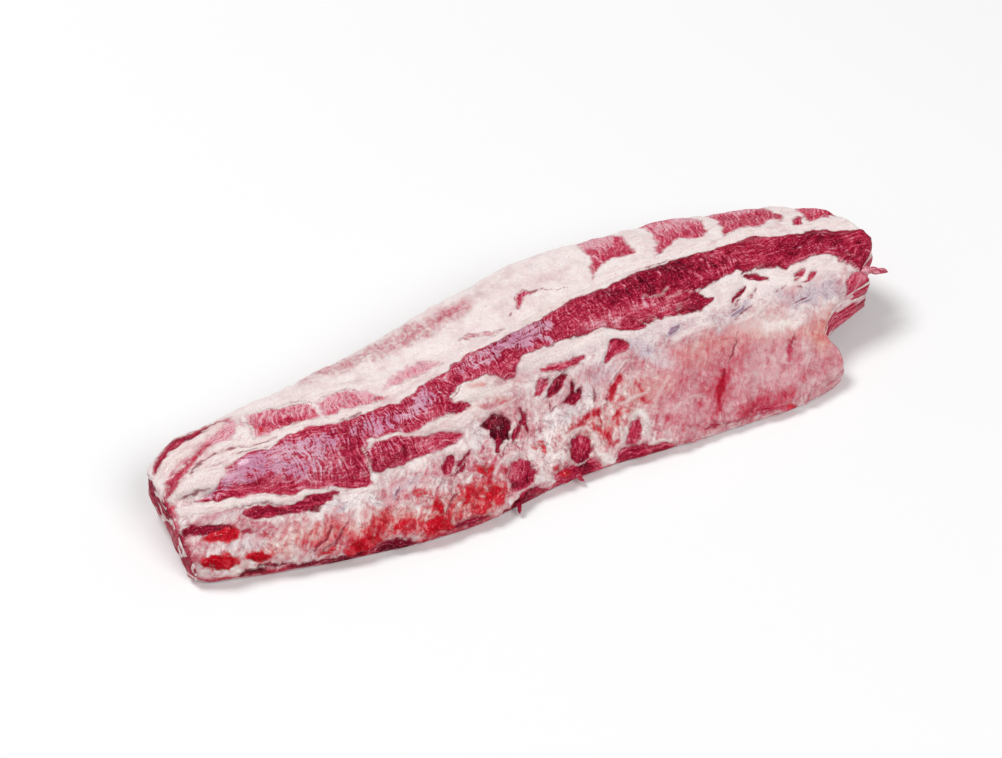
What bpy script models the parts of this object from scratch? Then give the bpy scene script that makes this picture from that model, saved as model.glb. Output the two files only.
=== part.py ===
"""One side of a raw lamb saddle: a long rib rack lying outer side up.

The meat is lofted along +X from its narrow neck end to its broad loin end.  Across it, the section
runs from the thin rib-tip edge (-Y) over the crest to the tall sawn face (+Y).  A fat cover lies on
the back of the crest, and ten ribs run in channels through the meat from the sawn face to the edge.
"""

import math

import bmesh
import bpy
import numpy as np
from mathutils import Vector, noise

# Driving dimensions, in metres.  Each row of stations is evenly spaced from the neck end to the loin
# end, and a smooth curve passes through them.
NECK_END_X, LOIN_END_X = -0.206, 0.138
NEAR_EDGE_Y = (-0.0488, -0.0633, -0.0703, -0.0618, -0.0638, -0.0643)
SAWN_FACE_Y = (0.0257, 0.0347, 0.0507, 0.0687, 0.0667, 0.0567)
CREST_HEIGHT = (0.034, 0.041, 0.045, 0.047, 0.046, 0.043)
SHOULDER_HEIGHT = (0.029, 0.035, 0.039, 0.041, 0.040, 0.037)
EDGE_THICKNESS = (0.016, 0.012, 0.010, 0.010, 0.009, 0.008)
ARCH_HEIGHT = (0.005, 0.010, 0.014, 0.015, 0.015, 0.013)

# The dark strap muscle along the crest: its middle and half width, measured round the skin.
STRAP_MIDDLE = (0.053, 0.057, 0.057, 0.071, 0.078, 0.081, 0.083, 0.087, 0.086, 0.076)
STRAP_HALF_WIDTH = (0.006, 0.014, 0.016, 0.012, 0.012, 0.011, 0.015, 0.013, 0.011, 0.008)
STRAP_FROM_X, STRAP_TO_X = -0.180, 0.180
STRAP_SWELL = 0.0022

# The ribs, from the neck end.  A tip is at the thin edge and a root at the sawn face.
RIBS = 10
FIRST_TIP_X, TIP_PITCH = -0.190, 0.0341
FIRST_ROOT_X, ROOT_PITCH = -0.170, 0.0362
RIB_SWEEP = 2.2
ROOT_HALF_WIDTH, TIP_HALF_WIDTH = 0.0072, 0.0048
ROOT_HALF_THICKNESS, TIP_HALF_THICKNESS = 0.0052, 0.0032
RIB_SHOWS_BELOW = 0.0012
RIB_ABOVE_FLOOR = 0.0020
RIB_PROUD_OF_FACE = 0.0005
CHANNEL_OVERRUN = 0.012
RIB_RINGS, RIB_SIDES = 12, 10
RIB_SWELL, RIB_SWELL_REACH = 0.0016, 0.007

# The fat cover: where it starts round the skin at each station, its thickness and its fit.
COVER_FROM_KNOT = (9.6, 8.4, 7.25, 7.1, 7.45, 7.3)
COVER_TO_KNOT = 12.3
COVER_RIM_THICKNESS = 0.0014
COVER_THICKNESS = (0.0036, 0.0056, 0.0062, 0.0062, 0.0060, 0.0044)
SEAM_GAP = 0.0003

# How finely the loft is cut, and how its two ends are rounded.
STATIONS = 54
END_CROWDING = 0.16
NECK_ROUNDING, LOIN_ROUNDING = 0.26, 0.14
NECK_ROUNDED_SHARE, LOIN_ROUNDED_SHARE = 0.030, 0.012
LUMP_SIZE, LUMP_HEIGHT = 0.028, 0.0016

NEAR_KNOTS = (0.35, 1.0, 1.7, 2.35, 3.0, 3.5, 4.0, 4.5, 5.0, 5.5, 6.0, 6.5)
FACE_KNOTS = (12.9, 13.5, 14.2, 14.75)
UNDER_KNOTS = (15.0, 15.95, 16.7, 17.5, 18.3, 19.1, 19.9, 20.7, 21.5, 22.3, 23.2, 24.0, 24.95)
COVER_STEPS = 10
HULL_KNOTS = 26


def station(values, share):
    """A smooth curve through evenly spaced values, read at a share of the length."""
    row = np.asarray(values, float)
    spans = len(row) - 1
    row = np.concatenate([[2 * row[0] - row[1]], row, [2 * row[-1] - row[-2]]])
    place = np.clip(share, 0.0, 1.0) * spans
    first = np.minimum(place.astype(int), spans - 1)
    t = place - first
    a, b, c, d = (row[first + step] for step in range(4))
    return b + 0.5 * t * (c - a + t * (2 * a - 5 * b + 4 * c - d + t * (3 * (b - c) + d - a)))


def ease(low, high, value):
    """0 below low, 1 above high and a smooth step between them."""
    t = np.clip((value - low) / (high - low), 0.0, 1.0)
    return t * t * (3 - 2 * t)


def neck_end_x(across):
    """The neck end is cut nearly square, bellied in its middle and rounded off at its corners."""
    corners = 0.0025 * (1 - ease(0, 0.10, across)) + 0.013 * ease(0.72, 1.0, across)
    return NECK_END_X + corners - 0.0010 * np.exp(-(((across - 0.80) / 0.20) ** 2))


def loin_end_x(across):
    """The loin end runs out along the crest, past a notch and a torn flap beside the thin flank."""
    flank = 0.010 * ease(0, 0.10, across) - 0.004 * ease(0.12, 0.20, across)
    flank -= 0.016 * (1 - ease(0, 0.06, across))
    crest = 0.0485 * ease(0.18, 0.52, across) - 0.026 * ease(0.60, 1.0, across)
    flap = 0.012 * np.exp(-(((across - 0.345) / 0.032) ** 2))
    return LOIN_END_X + flank + crest + flap


def section_hull(share):
    """The control points (across, height) that the section's smooth outline follows."""
    edge, crest, shoulder, arch = (
        station(row, share)
        for row in (EDGE_THICKNESS, CREST_HEIGHT, SHOULDER_HEIGHT, ARCH_HEIGHT)
    )
    rise = crest - edge
    near_edge = [(0.012, 0 * edge), (-0.004, 0.35 * edge), (-0.002, 0.85 * edge), (0.03, 1.12 * edge)]
    flank = [(0.16, edge + 0.34 * rise), (0.30, edge + 0.66 * rise), (0.44, edge + 0.90 * rise)]
    top = [(0.58, 1.015 * crest), (0.72, crest), (0.85, (shoulder + crest) / 2), (0.945, shoulder)]
    face = [(1.0, 0.84 * shoulder), (1.008, 0.55 * shoulder), (1.005, 0.25 * shoulder)]
    far_corner = [(1.0, 0 * edge), (1.0, 0 * edge)]
    far_rail = [(0.96, 0 * edge), (0.90, 0 * edge)]
    hollow = [(0.82, 0.45 * arch), (0.70, 0.95 * arch), (0.52, 1.12 * arch), (0.34, 0.95 * arch)]
    near_rail = [(0.20, 0.45 * arch), (0.12, 0 * arch), (0.06, 0 * arch), (0.02, 0 * arch)]
    rows = near_edge + flank + top + face + far_corner + far_rail + hollow + near_rail
    return np.array([np.stack([across + 0 * share, height]) for across, height in rows])


def section(share, knots):
    """Points (across, height) of the closed cubic B-spline over the hull, one row for each share."""
    hull = section_hull(share)
    first = np.floor(knots).astype(int)
    t = knots - first
    weights = (
        (1 - t) ** 3 / 6,
        (3 * t**3 - 6 * t**2 + 4) / 6,
        (-3 * t**3 + 3 * t**2 + 3 * t + 1) / 6,
        t**3 / 6,
    )
    points = 0
    for step, weight in enumerate(weights):
        points = points + hull[(first - 1 + step) % HULL_KNOTS] * weight[:, None, None]
    return points[:, 0].T, points[:, 1].T


def width_at(share):
    """The near edge's Y and the width from it to the sawn face."""
    near = station(NEAR_EDGE_Y, share)
    return near, station(SAWN_FACE_Y, share) - near


def across_and_height(share, knots):
    """Section points and their outward normals in the (Y, Z) plane, in metres."""
    across, height = section(share, knots)
    near, width = width_at(share)
    nudge = 0.02
    before = section(share, knots - nudge)
    after = section(share, knots + nudge)
    run = (after[0] - before[0]) * width[:, None]
    rise = after[1] - before[1]
    size = np.hypot(run, rise) + 1e-12
    return across, near[:, None] + across * width[:, None], height, -rise / size, run / size


def girth_table(share):
    """Knots round the outer skin and the distance travelled to each one, for each share."""
    knots = np.linspace(0.5, 14.9, 145)
    _, y, z, _, _ = across_and_height(share, knots)
    travelled = np.cumsum(np.hypot(np.diff(y, axis=1), np.diff(z, axis=1)), axis=1)
    return knots, np.concatenate([np.zeros((len(share), 1)), travelled], axis=1)


def length_x(share, across):
    """X of a point that is this share of the way between the two ends."""
    inside = np.clip(across, 0.0, 1.0)
    start = neck_end_x(inside)
    return start + (loin_end_x(inside) - start) * share


def rib_line(rib, across):
    """X of a rib's middle: it sweeps forward from its tip and straightens towards its root."""
    tip = FIRST_TIP_X + TIP_PITCH * rib
    root = FIRST_ROOT_X + ROOT_PITCH * rib
    return tip + (root - tip) * (1 - (1 - np.clip(across, 0, 1)) ** RIB_SWEEP)


def lumps(x, y, z):
    """Uneven soft meat: two sizes of smooth bumps over the skin."""
    bumps = np.empty(x.size)
    for spot, place in enumerate(zip(x.ravel(), y.ravel(), z.ravel())):
        at = Vector(place) / LUMP_SIZE
        bumps[spot] = noise.noise(at) + 0.5 * noise.noise(at * 2.1)
    return LUMP_HEIGHT * bumps.reshape(x.shape)


def relief(x, girth, across):
    """How far the outer skin stands proud: the strap muscle, and the ribs under the thin flank."""
    share = (x - STRAP_FROM_X) / (STRAP_TO_X - STRAP_FROM_X)
    middle, half = station(STRAP_MIDDLE, share), station(STRAP_HALF_WIDTH, share)
    strap = STRAP_SWELL * (1 - ease(0.65, 1.15, np.abs(girth - middle) / half))
    flank = ease(0.004, 0.016, girth) * (1 - ease(0.040, 0.058, girth))
    ribs = 0 * x
    for rib in range(RIBS):
        apart = (x - rib_line(rib, across)) / RIB_SWELL_REACH
        ribs = ribs + np.exp(-(apart**2))
    return strap + RIB_SWELL * (ribs - 0.5) * flank


def cover_thickness(share, part):
    """The fat cover is thickest in its middle and blunt at its two long rims."""
    bulge = np.sin(np.pi * np.clip(part, 0.0, 1.0)) ** 0.7
    return COVER_RIM_THICKNESS + (station(COVER_THICKNESS, share) - COVER_RIM_THICKNESS) * bulge


def shares():
    """Places along the loft, closer together near both ends."""
    even = np.linspace(0.0, 1.0, STATIONS)
    return even - END_CROWDING * np.sin(2 * np.pi * even) / (2 * np.pi)


def end_rounding(share):
    """How far a section draws in towards its middle line near each end."""
    neck = np.clip(share / NECK_ROUNDED_SHARE, 0, 1)
    loin = np.clip((1 - share) / LOIN_ROUNDED_SHARE, 0, 1)
    return NECK_ROUNDING * (1 - neck) ** 2 + LOIN_ROUNDING * (1 - loin) ** 2


def skin_rows(share, knots, sunk):
    """Lofted rows of points at these knots, each point sunk below the outer skin by its own depth.

    knots and sunk are arrays of one row for each share.
    """
    table_knots, table_girth = girth_table(share)
    rows = []
    for index, part in enumerate(share):
        here = np.array([part])
        across, y, z, normal_y, normal_z = (
            value[0] for value in across_and_height(here, knots[index])
        )
        x = length_x(part, across)
        girth = np.interp(knots[index], table_knots, table_girth[index])
        outer = knots[index] < HULL_KNOTS - 11
        lift = np.where(outer, relief(x, girth, across), 0.0)
        lift = lift + np.where(outer, lumps(x, y, z), 0.0) * ease(0.0, 0.006, z)
        y = y + normal_y * (lift - sunk[index])
        z = np.maximum(z + normal_z * (lift - sunk[index]), 0.0)
        middle_z = 0.5 * station(CREST_HEIGHT, part) * (1 - 0.4 * (2 * across - 1) ** 2)
        margin = 0.06
        near, width = (value[0] for value in width_at(here))
        middle_y = near + width * np.clip(across, margin, 1 - margin)
        draw = end_rounding(here)[0]
        y = y + (middle_y - y) * draw
        z = z + (middle_z - z) * draw
        rows.append(np.stack([x, y, z], axis=1))
    return np.array(rows)


def add_loft(mesh, rows, knots, upper, lower):
    """Adds closed rings of points, joins them, and closes both ends by bridging two chains.

    Every quad is split along the diagonal that rises with the knots, so two skins that lie one on
    the other are split alike and keep their gap.
    """
    rings = [[mesh.verts.new(point) for point in row] for row in rows]
    count = len(rings[0])
    for ring, following in zip(rings, rings[1:]):
        for step in range(count):
            after = (step + 1) % count
            if knots[after] >= knots[step]:
                mesh.faces.new((ring[step], following[step], following[after]))
                mesh.faces.new((ring[step], following[after], ring[after]))
            else:
                mesh.faces.new((ring[step], following[step], ring[after]))
                mesh.faces.new((following[step], following[after], ring[after]))
    for ring in (rings[0], rings[-1]):
        close_end(mesh, [ring[index] for index in upper], [ring[index] for index in lower])
    bmesh.ops.recalc_face_normals(mesh, faces=mesh.faces)


def close_end(mesh, upper, lower):
    """Fills the end between an upper and a lower chain that both run from the near to the far side."""
    top, low = 0, 0
    while top < len(upper) - 1 or low < len(lower) - 1:
        top_is_next = low == len(lower) - 1
        if top < len(upper) - 1 and not top_is_next:
            top_is_next = upper[top + 1].co.y <= lower[low + 1].co.y
        corners = (upper[top], upper[top + 1], lower[low]) if top_is_next else (
            upper[top],
            lower[low + 1],
            lower[low],
        )
        if len(set(corners)) == 3:
            mesh.faces.new(corners)
        top += top_is_next
        low += not top_is_next


def material(name, colour, roughness):
    made = bpy.data.materials.new(name)
    made.use_nodes = True
    shader = made.node_tree.nodes["Principled BSDF"]
    shader.inputs["Base Color"].default_value = (*colour, 1.0)
    shader.inputs["Roughness"].default_value = roughness
    return made


def new_object(name, mesh, finish):
    """Turns a bmesh into a smooth-shaded object with its material."""
    bmesh.ops.triangulate(mesh, faces=[face for face in mesh.faces if len(face.verts) > 4])
    data = bpy.data.meshes.new(name)
    mesh.to_mesh(data)
    mesh.free()
    made = bpy.data.objects.new(name, data)
    bpy.context.scene.collection.objects.link(made)
    if finish:
        data.materials.append(finish)
    data.shade_smooth()
    data.set_sharp_from_angle(angle=math.radians(40))
    return made


def cover_range(share):
    """First and last knot of the fat cover at each share."""
    first = station(COVER_FROM_KNOT, share)
    return first, np.full_like(first, COVER_TO_KNOT)


def make_meat(finish):
    """The lean body: it steps down under the fat cover and is whole everywhere else."""
    share = shares()
    first, last = cover_range(share)
    step_knots = 0.06
    knots, sunk = [], []
    for part, start, end in zip(share, first, last):
        bed = np.linspace(0.0, 1.0, COVER_STEPS + 1)
        bed_knots = start + (end - start) * bed
        bed_sunk = cover_thickness(part, bed) + SEAM_GAP
        outer = np.array(NEAR_KNOTS[1:])
        lead = NEAR_KNOTS[0] + (start - 0.3 - NEAR_KNOTS[0]) * (outer - 1.0) / (outer[-1] - 1.0)
        lead = np.concatenate([[NEAR_KNOTS[0]], np.maximum(lead, outer[0] + 0 * lead)])
        lead[1:4] = NEAR_KNOTS[1:4]
        lead[4:] = np.linspace(NEAR_KNOTS[4], start - 0.3, len(lead) - 4)
        bed_knots[0] -= step_knots
        bed_knots[-1] += step_knots
        row = np.concatenate(
            [lead, [start - step_knots], bed_knots, [end + step_knots], FACE_KNOTS, UNDER_KNOTS]
        )
        depth = np.zeros_like(row)
        depth[len(lead) + 1 : len(lead) + 1 + len(bed_knots)] = bed_sunk
        knots.append(row)
        sunk.append(depth)
    rows = skin_rows(share, np.array(knots), np.array(sunk))
    top_points = rows.shape[1] - len(UNDER_KNOTS)
    upper = list(range(top_points))
    lower = [0] + list(range(rows.shape[1] - 1, top_points - 1, -1)) + [top_points - 1]
    mesh = bmesh.new()
    add_loft(mesh, rows, knots[0], upper, lower)
    return new_object("meat", mesh, finish)


def make_fat_cover(finish):
    """The fat blanket over the back of the crest and the top of the sawn face."""
    share = shares()
    first, last = cover_range(share)
    outer = np.linspace(0.0, 1.0, COVER_STEPS + 1)
    knots, sunk = [], []
    for part, start, end in zip(share, first, last):
        knots.append(start + (end - start) * np.concatenate([outer, outer[::-1]]))
        sunk.append(np.concatenate([0 * outer, cover_thickness(part, outer[::-1])]))
    rows = skin_rows(share, np.array(knots), np.array(sunk))
    upper = list(range(len(outer)))
    lower = list(range(2 * len(outer) - 1, len(outer) - 1, -1))
    mesh = bmesh.new()
    add_loft(mesh, rows, knots[0], upper, lower)
    return new_object("fat_cover", mesh, finish)


def underside(share):
    """Across and height of the under side, from the near edge to the sawn face."""
    knots = np.linspace(14.9, 25.9, 89)[::-1]
    across, height = section(np.array([share]), knots)
    return across[0], height[0]


def rib_rows(rib, gap):
    """Rings along a rib from its tip to its root, each an ellipse grown by gap."""
    rows = []
    for along in np.linspace(0.0, 1.0, RIB_RINGS):
        across = np.array([along])
        x = rib_line(rib, across)[0]
        start, end = neck_end_x(across)[0], loin_end_x(across)[0]
        share = float(np.clip((x - start) / (end - start), 0.0, 1.0))
        near, width = (value[0] for value in width_at(np.array([share])))
        across_under, height_under = underside(share)
        under = np.interp(along, across_under, height_under)
        half_width = TIP_HALF_WIDTH + (ROOT_HALF_WIDTH - TIP_HALF_WIDTH) * along
        half_thick = TIP_HALF_THICKNESS + (ROOT_HALF_THICKNESS - TIP_HALF_THICKNESS) * along
        low = max(under - RIB_SHOWS_BELOW, RIB_ABOVE_FLOOR)
        turn = np.linspace(0, 2 * np.pi, RIB_SIDES, endpoint=False)
        ring_x = x + (half_width + gap) * np.cos(turn)
        ring_y = np.full_like(ring_x, near + width * along)
        ring_z = low + half_thick + (half_thick + gap) * np.sin(turn)
        rows.append(np.stack([ring_x, ring_y, ring_z], axis=1))
    rows[-1][:, 1] += RIB_PROUD_OF_FACE
    return rows


def make_tube(name, rows, finish):
    mesh = bmesh.new()
    rings = [[mesh.verts.new(point) for point in row] for row in rows]
    for ring, following in zip(rings, rings[1:]):
        for step in range(len(ring)):
            after = (step + 1) % len(ring)
            mesh.faces.new((ring[step], following[step], following[after], ring[after]))
    mesh.faces.new(rings[0])
    mesh.faces.new(rings[-1])
    bmesh.ops.recalc_face_normals(mesh, faces=mesh.faces)
    return new_object(name, mesh, finish)


def make_tag(name, root, tip, width, thickness):
    """A torn shred of meat or membrane: a flat tongue from root to tip."""
    root, tip = Vector(root), Vector(tip)
    mesh = bmesh.new()
    bmesh.ops.create_icosphere(mesh, subdivisions=2, radius=0.5)
    length = (tip - root).length
    turn = (tip - root).to_track_quat("X", "Z")
    for vert in mesh.verts:
        along = vert.co.x + 0.5
        taper = 1.0 - 0.55 * along
        point = Vector((along * length, vert.co.y * width * taper, vert.co.z * thickness * taper))
        point.z += 0.12 * length * math.sin(math.pi * along)
        vert.co = root + turn @ point
    return new_object(name, mesh, None)


# Shreds torn loose at the loin end and along the thin edge: name, root, tip, width and thickness.
TAGS = (
    ("loin_tongue", (0.1650, -0.0185, 0.0330), (0.1945, -0.0178, 0.0300), 0.0080, 0.0048),
    ("loin_spur", (0.1800, -0.0040, 0.0345), (0.1935, -0.0028, 0.0355), 0.0065, 0.0045),
    ("edge_drop", (-0.0450, -0.0650, 0.0060), (-0.0460, -0.0722, 0.0022), 0.0044, 0.0040),
    ("edge_shred", (-0.0120, -0.0590, 0.0050), (-0.0080, -0.0662, 0.0028), 0.0050, 0.0035),
)


def cut_rib_channel(meat, rib):
    """Cuts the channel that one rib lies in, a seam wider than the rib and open at both ends."""
    rows = rib_rows(rib, SEAM_GAP)
    before_tip = rows[0] - np.array([0.0, CHANNEL_OVERRUN, 0.0])
    past_root = rows[-1] + np.array([0.0, CHANNEL_OVERRUN, 0.0])
    apply_boolean(meat, make_tube("channel", [before_tip, *rows, past_root], None), "DIFFERENCE")


def apply_boolean(target, tool, operation):
    """Applies a Boolean of one tool object to the target and removes the tool."""
    cut = target.modifiers.new(operation.lower(), "BOOLEAN")
    cut.operation = operation
    cut.solver = "EXACT"
    cut.object = tool
    bpy.context.view_layer.objects.active = target
    with bpy.context.temp_override(object=target, active_object=target):
        bpy.ops.object.modifier_apply(modifier=cut.name)
    bpy.data.objects.remove(tool)


def centre_on_origin(pieces):
    """Moves every mesh so that the origin lies under the middle of the whole box, on the floor."""
    points = np.array([vert.co for piece in pieces for vert in piece.data.vertices])
    low, high = points.min(axis=0), points.max(axis=0)
    offset = Vector((-(low[0] + high[0]) / 2, -(low[1] + high[1]) / 2, -low[2]))
    for piece in pieces:
        for vert in piece.data.vertices:
            vert.co += offset


def main():
    for item in list(bpy.data.objects):
        bpy.data.objects.remove(item)
    lean = material("lean", (0.42, 0.07, 0.09), 0.35)
    fat = material("fat", (0.86, 0.74, 0.68), 0.45)
    bone = material("bone", (0.80, 0.66, 0.60), 0.50)

    meat = make_meat(lean)
    for tag in TAGS:
        apply_boolean(meat, make_tag(*tag), "UNION")
    for rib in range(RIBS):
        cut_rib_channel(meat, rib)
    pieces = [meat, make_fat_cover(fat)]
    for rib in range(RIBS):
        pieces.append(make_tube(f"rib_{rib + 1:02d}", rib_rows(rib, 0.0), bone))
    centre_on_origin(pieces)


main()
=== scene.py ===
import math

import bmesh
import bpy
import numpy as np
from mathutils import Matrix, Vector, noise


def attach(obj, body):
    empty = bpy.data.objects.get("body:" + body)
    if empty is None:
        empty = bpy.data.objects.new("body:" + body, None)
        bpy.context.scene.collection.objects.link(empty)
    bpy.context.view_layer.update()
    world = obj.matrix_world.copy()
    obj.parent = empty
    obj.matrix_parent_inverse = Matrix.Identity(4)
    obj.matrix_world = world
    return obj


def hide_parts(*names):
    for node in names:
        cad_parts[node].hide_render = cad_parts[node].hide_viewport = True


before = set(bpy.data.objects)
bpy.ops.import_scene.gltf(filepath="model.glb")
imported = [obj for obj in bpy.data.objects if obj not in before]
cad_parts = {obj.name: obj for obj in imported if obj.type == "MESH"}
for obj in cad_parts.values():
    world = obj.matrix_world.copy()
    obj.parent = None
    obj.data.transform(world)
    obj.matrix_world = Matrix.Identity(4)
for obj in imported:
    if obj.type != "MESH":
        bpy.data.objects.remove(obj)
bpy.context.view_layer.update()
for item in list(bpy.context.selected_objects):
    item.select_set(False)


# ---------------------------------------------------------------------------------------------
# The rack itself: one side of a raw lamb saddle, cut free of its backbone, lying outer side up.
# Its whole skin is one closed loft from the neck end to the loin end: thin rib-tip edge, flank,
# strap muscle, the bed under the fat cover, the sawn face and the hollow rib-cage underside.
# ---------------------------------------------------------------------------------------------

# The loft's own X and Y zero lies here in the frame.
LOFT_ZERO = np.array([0.006428, 0.000599, 0.0])

NECK_END_X, LOIN_END_X = -0.206, 0.138
NEAR_EDGE_Y = (-0.0488, -0.0633, -0.0703, -0.0618, -0.0638, -0.0643)
SAWN_FACE_Y = (0.0257, 0.0347, 0.0507, 0.0687, 0.0667, 0.0567)
CREST_HEIGHT = (0.034, 0.041, 0.045, 0.047, 0.046, 0.043)
SHOULDER_HEIGHT = (0.029, 0.035, 0.039, 0.041, 0.040, 0.037)
EDGE_THICKNESS = (0.016, 0.012, 0.010, 0.010, 0.009, 0.008)
ARCH_HEIGHT = (0.005, 0.010, 0.014, 0.015, 0.015, 0.013)
STRAP_MIDDLE = (0.053, 0.057, 0.057, 0.071, 0.078, 0.081, 0.083, 0.087, 0.086, 0.076)
STRAP_HALF_WIDTH = (0.006, 0.014, 0.016, 0.012, 0.012, 0.011, 0.015, 0.013, 0.011, 0.008)
STRAP_FROM_X, STRAP_TO_X = -0.180, 0.180
STRAP_SWELL = 0.0022
RIBS = 10
FIRST_TIP_X, TIP_PITCH = -0.190, 0.0341
FIRST_ROOT_X, ROOT_PITCH = -0.170, 0.0362
RIB_SWEEP = 2.2
RIB_SWELL, RIB_SWELL_REACH = 0.0016, 0.007
LUMP_SIZE, LUMP_HEIGHT = 0.028, 0.0016
HULL_KNOTS = 26


def station(values, share):
    """A smooth curve through evenly spaced values, read at a share of the length."""
    row = np.asarray(values, float)
    spans = len(row) - 1
    row = np.concatenate([[2 * row[0] - row[1]], row, [2 * row[-1] - row[-2]]])
    place = np.clip(share, 0.0, 1.0) * spans
    first = np.minimum(place.astype(int), spans - 1)
    t = place - first
    a, b, c, d = (row[first + step] for step in range(4))
    return b + 0.5 * t * (c - a + t * (2 * a - 5 * b + 4 * c - d + t * (3 * (b - c) + d - a)))


def ease(low, high, value):
    """0 below low, 1 above high and a smooth step between them."""
    t = np.clip((value - low) / (high - low), 0.0, 1.0)
    return t * t * (3 - 2 * t)


def neck_end_x(across):
    corners = 0.0025 * (1 - ease(0, 0.10, across)) + 0.013 * ease(0.72, 1.0, across)
    return NECK_END_X + corners - 0.0010 * np.exp(-(((across - 0.80) / 0.20) ** 2))


def loin_end_x(across):
    flank = 0.010 * ease(0, 0.10, across) - 0.004 * ease(0.12, 0.20, across)
    flank -= 0.016 * (1 - ease(0, 0.06, across))
    crest = 0.0485 * ease(0.18, 0.52, across) - 0.026 * ease(0.60, 1.0, across)
    flap = 0.012 * np.exp(-(((across - 0.345) / 0.032) ** 2))
    return LOIN_END_X + flank + crest + flap


def section_hull(share):
    """The control points (across, height) that the section's smooth outline follows."""
    edge, crest, shoulder, arch = (
        station(row, share)
        for row in (EDGE_THICKNESS, CREST_HEIGHT, SHOULDER_HEIGHT, ARCH_HEIGHT)
    )
    rise = crest - edge
    near_edge = [
        (0.012, 0 * edge),
        (-0.004, 0.35 * edge),
        (-0.002, 0.85 * edge),
        (0.03, 1.12 * edge),
    ]
    flank = [(0.16, edge + 0.34 * rise), (0.30, edge + 0.66 * rise), (0.44, edge + 0.90 * rise)]
    top = [(0.58, 1.015 * crest), (0.72, crest), (0.85, (shoulder + crest) / 2), (0.945, shoulder)]
    face = [(1.0, 0.84 * shoulder), (1.008, 0.55 * shoulder), (1.005, 0.25 * shoulder)]
    far_corner = [(1.0, 0 * edge), (1.0, 0 * edge)]
    far_rail = [(0.96, 0 * edge), (0.90, 0 * edge)]
    hollow = [(0.82, 0.45 * arch), (0.70, 0.95 * arch), (0.52, 1.12 * arch), (0.34, 0.95 * arch)]
    near_rail = [(0.20, 0.45 * arch), (0.12, 0 * arch), (0.06, 0 * arch), (0.02, 0 * arch)]
    rows = near_edge + flank + top + face + far_corner + far_rail + hollow + near_rail
    return np.array([np.stack([across + 0 * share, height]) for across, height in rows])


def section(share, knots):
    """Across and height of the closed cubic B-spline over the hull; knots has a row per share."""
    hull = section_hull(share)
    row = np.arange(len(share))[:, None]
    first = np.floor(knots).astype(int)
    t = knots - first
    weights = (
        (1 - t) ** 3 / 6,
        (3 * t**3 - 6 * t**2 + 4) / 6,
        (-3 * t**3 + 3 * t**2 + 3 * t + 1) / 6,
        t**3 / 6,
    )
    across, height = 0.0, 0.0
    for step, weight in enumerate(weights):
        index = (first - 1 + step) % HULL_KNOTS
        across = across + hull[index, 0, row] * weight
        height = height + hull[index, 1, row] * weight
    return across, height


def rib_line(rib, across):
    """X of a rib's middle, from its tip at the thin edge to its root at the sawn face."""
    tip = FIRST_TIP_X + TIP_PITCH * rib
    root = FIRST_ROOT_X + ROOT_PITCH * rib
    return tip + (root - tip) * (1 - (1 - np.clip(across, 0, 1)) ** RIB_SWEEP)


def lumps(x, y, z):
    """Uneven soft meat: two sizes of smooth bumps over the skin."""
    bumps = np.empty(x.size)
    for spot, place in enumerate(zip(x.ravel(), y.ravel(), z.ravel())):
        at = Vector(place) / LUMP_SIZE
        bumps[spot] = noise.noise(at) + 0.5 * noise.noise(at * 2.1)
    return LUMP_HEIGHT * bumps.reshape(x.shape)


def relief(x, girth, across):
    """The strap muscle and the ribs under the thin flank stand proud of the smooth loft."""
    share = (x - STRAP_FROM_X) / (STRAP_TO_X - STRAP_FROM_X)
    middle, half = station(STRAP_MIDDLE, share), station(STRAP_HALF_WIDTH, share)
    strap = STRAP_SWELL * (1 - ease(0.65, 1.15, np.abs(girth - middle) / half))
    flank = ease(0.004, 0.016, girth) * (1 - ease(0.040, 0.058, girth))
    ribs = 0 * x
    for rib in range(RIBS):
        ribs = ribs + np.exp(-(((x - rib_line(rib, across)) / RIB_SWELL_REACH) ** 2))
    return strap + RIB_SWELL * (ribs - 0.5) * flank


def lay_skin(share, knots, sunk):
    """Lofted rings of points, and for each point its X, girth round the skin and share across."""
    near = station(NEAR_EDGE_Y, share)[:, None]
    width = station(SAWN_FACE_Y, share)[:, None] - near
    across, height = section(share, knots)
    before, after = section(share, knots - 0.02), section(share, knots + 0.02)
    run, rise = (after[0] - before[0]) * width, after[1] - before[1]
    size = np.hypot(run, rise) + 1e-12
    normal_y, normal_z = -rise / size, run / size
    table = np.tile(np.linspace(0.5, 25.9, 255), (len(share), 1))
    table_across, table_z = section(share, table)
    steps = np.hypot(np.diff(table_across * width, axis=1), np.diff(table_z, axis=1))
    travelled = np.concatenate([np.zeros((len(share), 1)), np.cumsum(steps, axis=1)], axis=1)
    girth = np.array([np.interp(k, t, g) for k, t, g in zip(knots, table, travelled)])
    inside = np.clip(across, 0.0, 1.0)
    start = neck_end_x(inside)
    x = start + (loin_end_x(inside) - start) * share[:, None]
    y, z = near + across * width, height
    outer = knots < HULL_KNOTS - 11
    lift = np.where(outer, relief(x, girth, across) + lumps(x, y, z) * ease(0, 0.006, z), 0.0)
    y = y + normal_y * (lift - sunk)
    z = np.maximum(z + normal_z * (lift - sunk), 0.0)
    neck = np.clip(share / 0.030, 0, 1)
    loin = np.clip((1 - share) / 0.012, 0, 1)
    draw = (0.26 * (1 - neck) ** 2 + 0.14 * (1 - loin) ** 2)[:, None]
    middle_y = near + width * np.clip(across, 0.06, 0.94)
    middle_z = 0.5 * station(CREST_HEIGHT, share)[:, None] * (1 - 0.4 * (2 * across - 1) ** 2)
    y = y + (middle_y - y) * draw
    z = z + (middle_z - z) * draw
    return np.stack([x, y, z], axis=2), np.stack([x, girth, across], axis=2)


def crowded_shares(count):
    """Places along the loft, closer together near both ends."""
    even = np.linspace(0.0, 1.0, count)
    return even - 0.16 * np.sin(2 * np.pi * even) / (2 * np.pi)


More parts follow.
